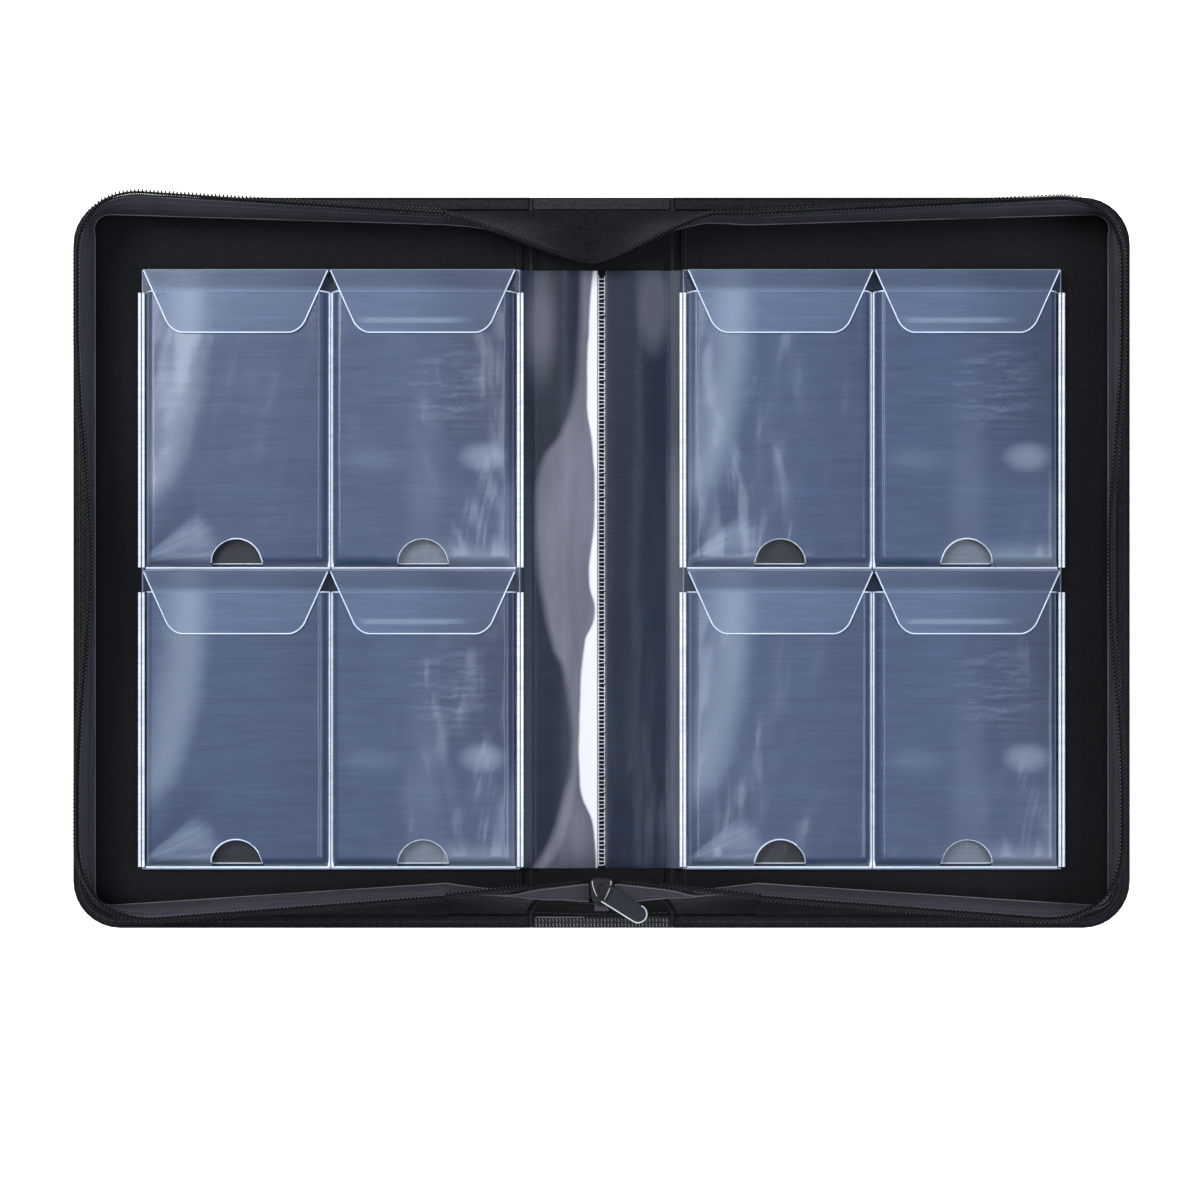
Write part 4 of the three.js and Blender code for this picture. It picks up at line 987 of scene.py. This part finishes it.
def pocket_film(name, x0, y0, seed, sign, look):
    """The pocket's front film: raised, rounded over at its welds, with a mouth and a thumb notch."""
    half, foot = POCKET_WIDTH / 2 + FILM_OVER, y0 + FOOT_Y
    evenly = np.linspace(-1, 1, 61)
    xs = x0 + half * np.sin(np.pi / 2 * evenly) * 0.35 + 0.65 * half * evenly
    ys = foot + np.concatenate([np.linspace(0, 24, 36), np.linspace(24, 138.6, 61)[1:]])
    x, y = np.meshgrid(xs, ys, indexing="ij")
    centre = y0 + 2
    near = np.hypot(x - x0, y - centre)
    inside = near < NOTCH
    cut = inside[:-1, :-1] & inside[1:, :-1] & inside[:-1, 1:] & inside[1:, 1:]
    pull = np.where(inside & (y > centre - 1.5), NOTCH / np.maximum(near, 1e-6), 1.0)
    x, y = x0 + (x - x0) * pull, centre + (y - centre) * pull
    lift = swell((half - np.abs(x - x0)) / 4.2) * swell((y - foot) / 5.5)
    sag = 0.5 + 0.5 * ripple(x * 1.4, y * 0.8, 90, seed)
    gathers = np.exp(-np.clip(y - foot, 0, None) / 9) * np.sin(x * 0.45 + 3 * ripple(x, y, 60, seed + 5)) * 0.12
    z = BACK_TOP + (POCKET_TOP - CORE_TOP - 0.75) * lift - 0.8 * sag * lift + gathers * lift
    over = places(sign * x, y, z + 0.35)
    return solid_sheet(name, over, over - [0, 0, 0.35], look, cell_uv(x, y, x0, y0, sign), ~cut), over


def notch_back(name, x, y, look):
    """The half round of backing film that shows through a thumb notch."""
    angle, reach = np.linspace(0.02, np.pi - 0.02, 28)[:, None], np.linspace(0.3, NOTCH + 0.3, 6)
    over = places(x + reach * np.cos(angle), y + reach * np.sin(angle), BACK_TOP)
    return solid_sheet(name, over, over - [0, 0, 0.2], look, over[..., :2])


def flap_film(name, x0, y0, seed, sign, look):
    """A lid of film over the pocket's mouth, with slanted sides and round corners, and the path of its rim."""
    straight = LID_DEPTH - LID_CORNER
    rounded = straight + LID_CORNER * swell(np.linspace(0, 1, 12))[1:]
    down = np.concatenate([np.linspace(LID_START, straight, 20), rounded])
    corner = unit((down - straight) / LID_CORNER)
    half = np.interp(down, [LID_START, LID_DEPTH], [LID_HALF, LID_END_HALF])
    half = half - 5.6 * (1 - np.sqrt(unit(1 - corner ** 2)))
    x = x0 + np.linspace(-1, 1, 44) * half[:, None]
    y = y0 - down[:, None]
    curl = smooth((down - 4) / 28)[:, None] * (0.1 + 0.08 * ripple(x, y, 90, seed, 3))
    over = places(sign * x, y, FLAP_Z + 0.42 + curl)
    made = solid_sheet(name, over, over - [0, 0, 0.4], look, cell_uv(x, y, x0, y0 - POCKET_LENGTH - 4, sign))
    return made, np.concatenate([over[:, 0], over[-1, 1:-1], over[::-1, -1]]) - [0, 0, 0.2]


def ribbon(x0, y0, x1, y1, z, half, high=0.22):
    """A low rounded ridge, pressed flat, between two points."""
    count = max(4, int(max(abs(x1 - x0), abs(y1 - y0)) / 6))
    share = np.linspace(0, 1, count)
    path = places(mix(x0, x1, share), mix(y0, y1, share), z)
    points, faces = tube(path, 1.0, 8, normals=np.tile([0.0, 0.0, 1.0], (count, 1)))
    middle = np.repeat(path, 8, axis=0)
    return middle + (points - middle) * [half, half, high], faces


for side, sign in SIDES.items():
    def crossing(x, reach, y, z, half, high=0.22):
        return ribbon(sign * (x - reach), y, sign * (x + reach), y, z, half, high)

    leaf_body = f"{side}_leaf"
    lower = page_film(f"{side}_lower_page", 4.8, 31 + sign, sign)
    declare(ride(lower, f"{side}_cover", "film", f"{side}_lower_leaf"))
    page = page_film(f"{side}_page_core", 6.3, 41 + sign, sign)
    ride(page, leaf_body, "film", f"{side}_leaf_core", f"{side}_hidden_pockets")
    declare(page)
    ribs, rims, brims = [], [], []
    for k, (cell, x, y, column) in enumerate(cells(sign)):
        name, flap = f"{side}_{cell}", f"{side}_{cell}_flap"
        outer, top = POCKET_WIDTH / 2 + WELD_OUT, y + POCKET_LENGTH + 4
        film, over = pocket_film(f"{name}_front", x, y, 60 + 7 * k + sign, sign, FRONTS[column])
        declare(ride(film, leaf_body, "film", f"{name}_pocket"))
        rim = 1 if "outer" in cell else -1
        for dx in (rim * WELD_SIDES[0], rim * WELD_SIDES[1], -rim * WELD_MIDDLE):
            ribs.append(ribbon(sign * (x + dx), y + 0.5, sign * (x + dx), y + MOUTH, CORE_TOP + 0.9, 0.72, 0.5))
        ribs += [crossing(x, outer, y + 0.2, BACK_TOP, 0.45), crossing(x, NOTCH, y + 2.3, BACK_TOP, 0.22)]
        brims += [crossing(x, outer, top - 0.3, 13.25, 0.25), crossing(x, outer, y - 0.5, 7.2, 0.4)]
        ride(notch_back(f"{name}_notch_back", sign * x, y + 2.1, BACKS[column]), leaf_body, "film")
        ys, zs = top - 2.05 + np.array([0.0, 0.25, 1.9, 2.0]), np.array([7.0, 13.1, 13.1, 7.0])
        xs = np.linspace(-outer, outer, 30) + x
        above = places(sign * xs[:, None], ys, zs + 0.2)
        ride(solid_sheet(f"{name}_header", above, above - [0, 0, 0.4], HEADER), leaf_body, "film")
        rims.append(over[:, -1] - [0, 0, 0.15])
        angle = np.linspace(0.09, np.pi - 0.09, 30)
        rise = NOTCH * np.sin(angle)
        foot_lift = swell((2 + rise - FOOT_Y) / 5.5)
        rims.append(places(sign * (x + NOTCH * np.cos(angle)), y + 2 + rise, CORE_TOP + 0.1 + 5.9 * foot_lift))
        lid, lid_rim = flap_film(f"{name}_lid", x, top, 90 + 5 * k + sign, sign, LIDS[column])
        declare(ride(lid, flap, "film", flap))
        sew(f"{name}_lid_edge", [lid_rim], 0.38, CUT_EDGE_GLINT, flap, "film")
    ride(merged(f"{side}_leaf_welds", ribs, WELD), leaf_body, "film")
    sew(f"{side}_cut_edges", rims, 0.42, CUT_EDGE_GLINT, leaf_body, "film")
    x0, x1 = sign * LEAF_X, sign * (LEAF_X + LEAF_WIDTH)
    corners = (
        (x0, LEAF_FOOT, x0, LEAF_HEAD), (x1, LEAF_FOOT, x1, LEAF_HEAD),
        (x0, LEAF_FOOT, x1, LEAF_FOOT), (x0, LEAF_HEAD, x1, LEAF_HEAD),
    )
    border = [ribbon(*ends, 6.5, 0.35) for ends in corners] + brims
    ride(merged(f"{side}_page_border", border, BORDER), leaf_body, "film")


# Zip end: the tongue is replaced by a woven strip, and the moulded pieces keep their CAD shapes.
drop = np.linspace(0, 1, 12)
ys = np.concatenate([np.linspace(-162.9, -170.6, 8), mix(-171.0, -174.2, drop)])
zs = np.concatenate([np.full(8, 34.3), 34.3 - 13 * drop ** 1.15])
xs = np.linspace(-3.5, 3.5, 8)[:, None]
tongue = solid_sheet("zip_tongue_web", places(xs, ys, zs + 0.3), places(xs, ys + 0.25, zs - 0.25), TAPE)
declare(ride(tongue, "spine", "tape", "zip_tongue"))

# A pale strand round the pull tab's rim and two along the slider's sides are painted highlights on their edges.
turn, sweep = math.radians(-32), np.linspace(-np.pi / 2, 0.55 * np.pi, 18)
along = np.concatenate([np.linspace(2.5, 20.5, 12), 21 + 4.3 * np.cos(sweep)])
aside = np.concatenate([np.full(12, -4.3), 4.3 * np.sin(sweep)])
tab_rim_highlight = places(
    along * math.cos(turn) - aside * math.sin(turn), -161.5 + along * math.sin(turn) + aside * math.cos(turn), 40.2
)
sew("tab_rim_highlight", [tab_rim_highlight], 0.3, TAB_EDGE_HIGHLIGHT, "tab", "rubber")
bow = np.linspace(0, 1, 12)
slider_rim_highlights = [places(s * (4.6 - 3.4 * bow ** 1.7), -156.8 - 9.4 * bow, 38.15) for s in (-1, 1)]
sew("slider_rim_highlights", slider_rim_highlights, 0.22, TAB_EDGE_HIGHLIGHT, "slider", "slider")

LOOKS = {
    "spine_skin": LEATHER, "spine_board": BOARD, "spine_lining": LINING, "head_hem": LEATHER, "foot_hem": LEATHER,
    "binding_strip": BINDING, "zip_slider": SATIN, "pull_tab": RUBBER, "chain_tail": COIL,
}
for side in SIDES:
    for part, look in (("skin", LEATHER), ("board", BOARD), ("lining", LINING), ("piping", LEATHER)):
        LOOKS[f"{side}_cover_{part}"] = look
BEVELS = {"zip_slider": 0.00025, "pull_tab": 0.0005, "chain_tail": 0.00015, "binding_strip": 0.0003}
for node, look in LOOKS.items():
    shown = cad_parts[node]
    shown.data.materials.clear()
    shown.data.materials.append(look)
    shown.data.polygons.foreach_set("use_smooth", [True] * len(shown.data.polygons))
    shown.data.set_sharp_from_angle(angle=math.radians(35))
    if node in BEVELS:
        bevel = shown.modifiers.new("soft_edges", "BEVEL")
        bevel.width = BEVELS[node]
        bevel.segments = 2
        bevel.limit_method = "ANGLE"


# Stage, lights and camera.
@material
def floor_look(g):
    path = g.all_of("LightPath")
    seen = g.clamp(path["Is Camera Ray"] + path["Is Transmission Ray"])
    diffuse = g.add("BsdfDiffuse", {"Color": (0.9, 0.9, 0.9)})
    glow = g.add("Emission", {"Color": (1, 1, 1), "Strength": 0.9})
    both = g.add("AddShader", {0: diffuse, 1: glow})
    return g.add("MixShader", {0: seen, 1: diffuse, 2: both})


FLOOR = [(-4000, -4000, -0.3), (4000, -4000, -0.3), (4000, 4000, -0.3), (-4000, 4000, -0.3)]
mesh_object("floor", FLOOR, [(0, 1, 2, 3)], floor_look("pale_floor"), smooth=False)

world = bpy.data.worlds.new("studio")
scene.world = world
world.use_nodes = True
world.node_tree.nodes.clear()
sky = Graph(world.node_tree)
soft = sky.add("Background", {"Color": (0.86, 0.92, 1.0), "Strength": 0.35})
plain = sky.add("Background", {"Color": (1, 1, 1), "Strength": 1.0})
seen = sky.all_of("LightPath")["Is Camera Ray"]
shown = sky.add("MixShader", {0: seen, 1: soft, 2: plain})
sky.node("OutputWorld", {"Surface": shown})


def softbox(name, place, width, height, power, colour):
    """A lamp that is turned to the origin."""
    lamp = bpy.data.lights.new(name, "AREA")
    lamp.shape = "RECTANGLE"
    lamp.size, lamp.size_y = width, height
    lamp.energy = power
    lamp.color = colour
    add_object(name, lamp, place).rotation_euler = (-Vector(place)).to_track_quat("-Z", "Y").to_euler()


softbox("key", (-0.9, 0.7, 1.7), 1.1, 0.9, 34, (0.97, 0.98, 1.0))
softbox("fill", (1.2, -0.4, 1.5), 0.9, 1.2, 20, (0.84, 0.9, 1.0))
softbox("top_strip", (0.0, 0.05, 1.9), 0.22, 1.6, 10, (0.9, 0.95, 1.0))

camera = bpy.data.cameras.new("camera")
camera.sensor_width = 36
camera.lens = 18 / math.tan(math.radians(17.01))
camera.clip_start, camera.clip_end = 0.05, 50
scene.camera = add_object("camera", camera, (-0.0008, -0.019, 1.0))
scene.view_settings.view_transform = "Standard"
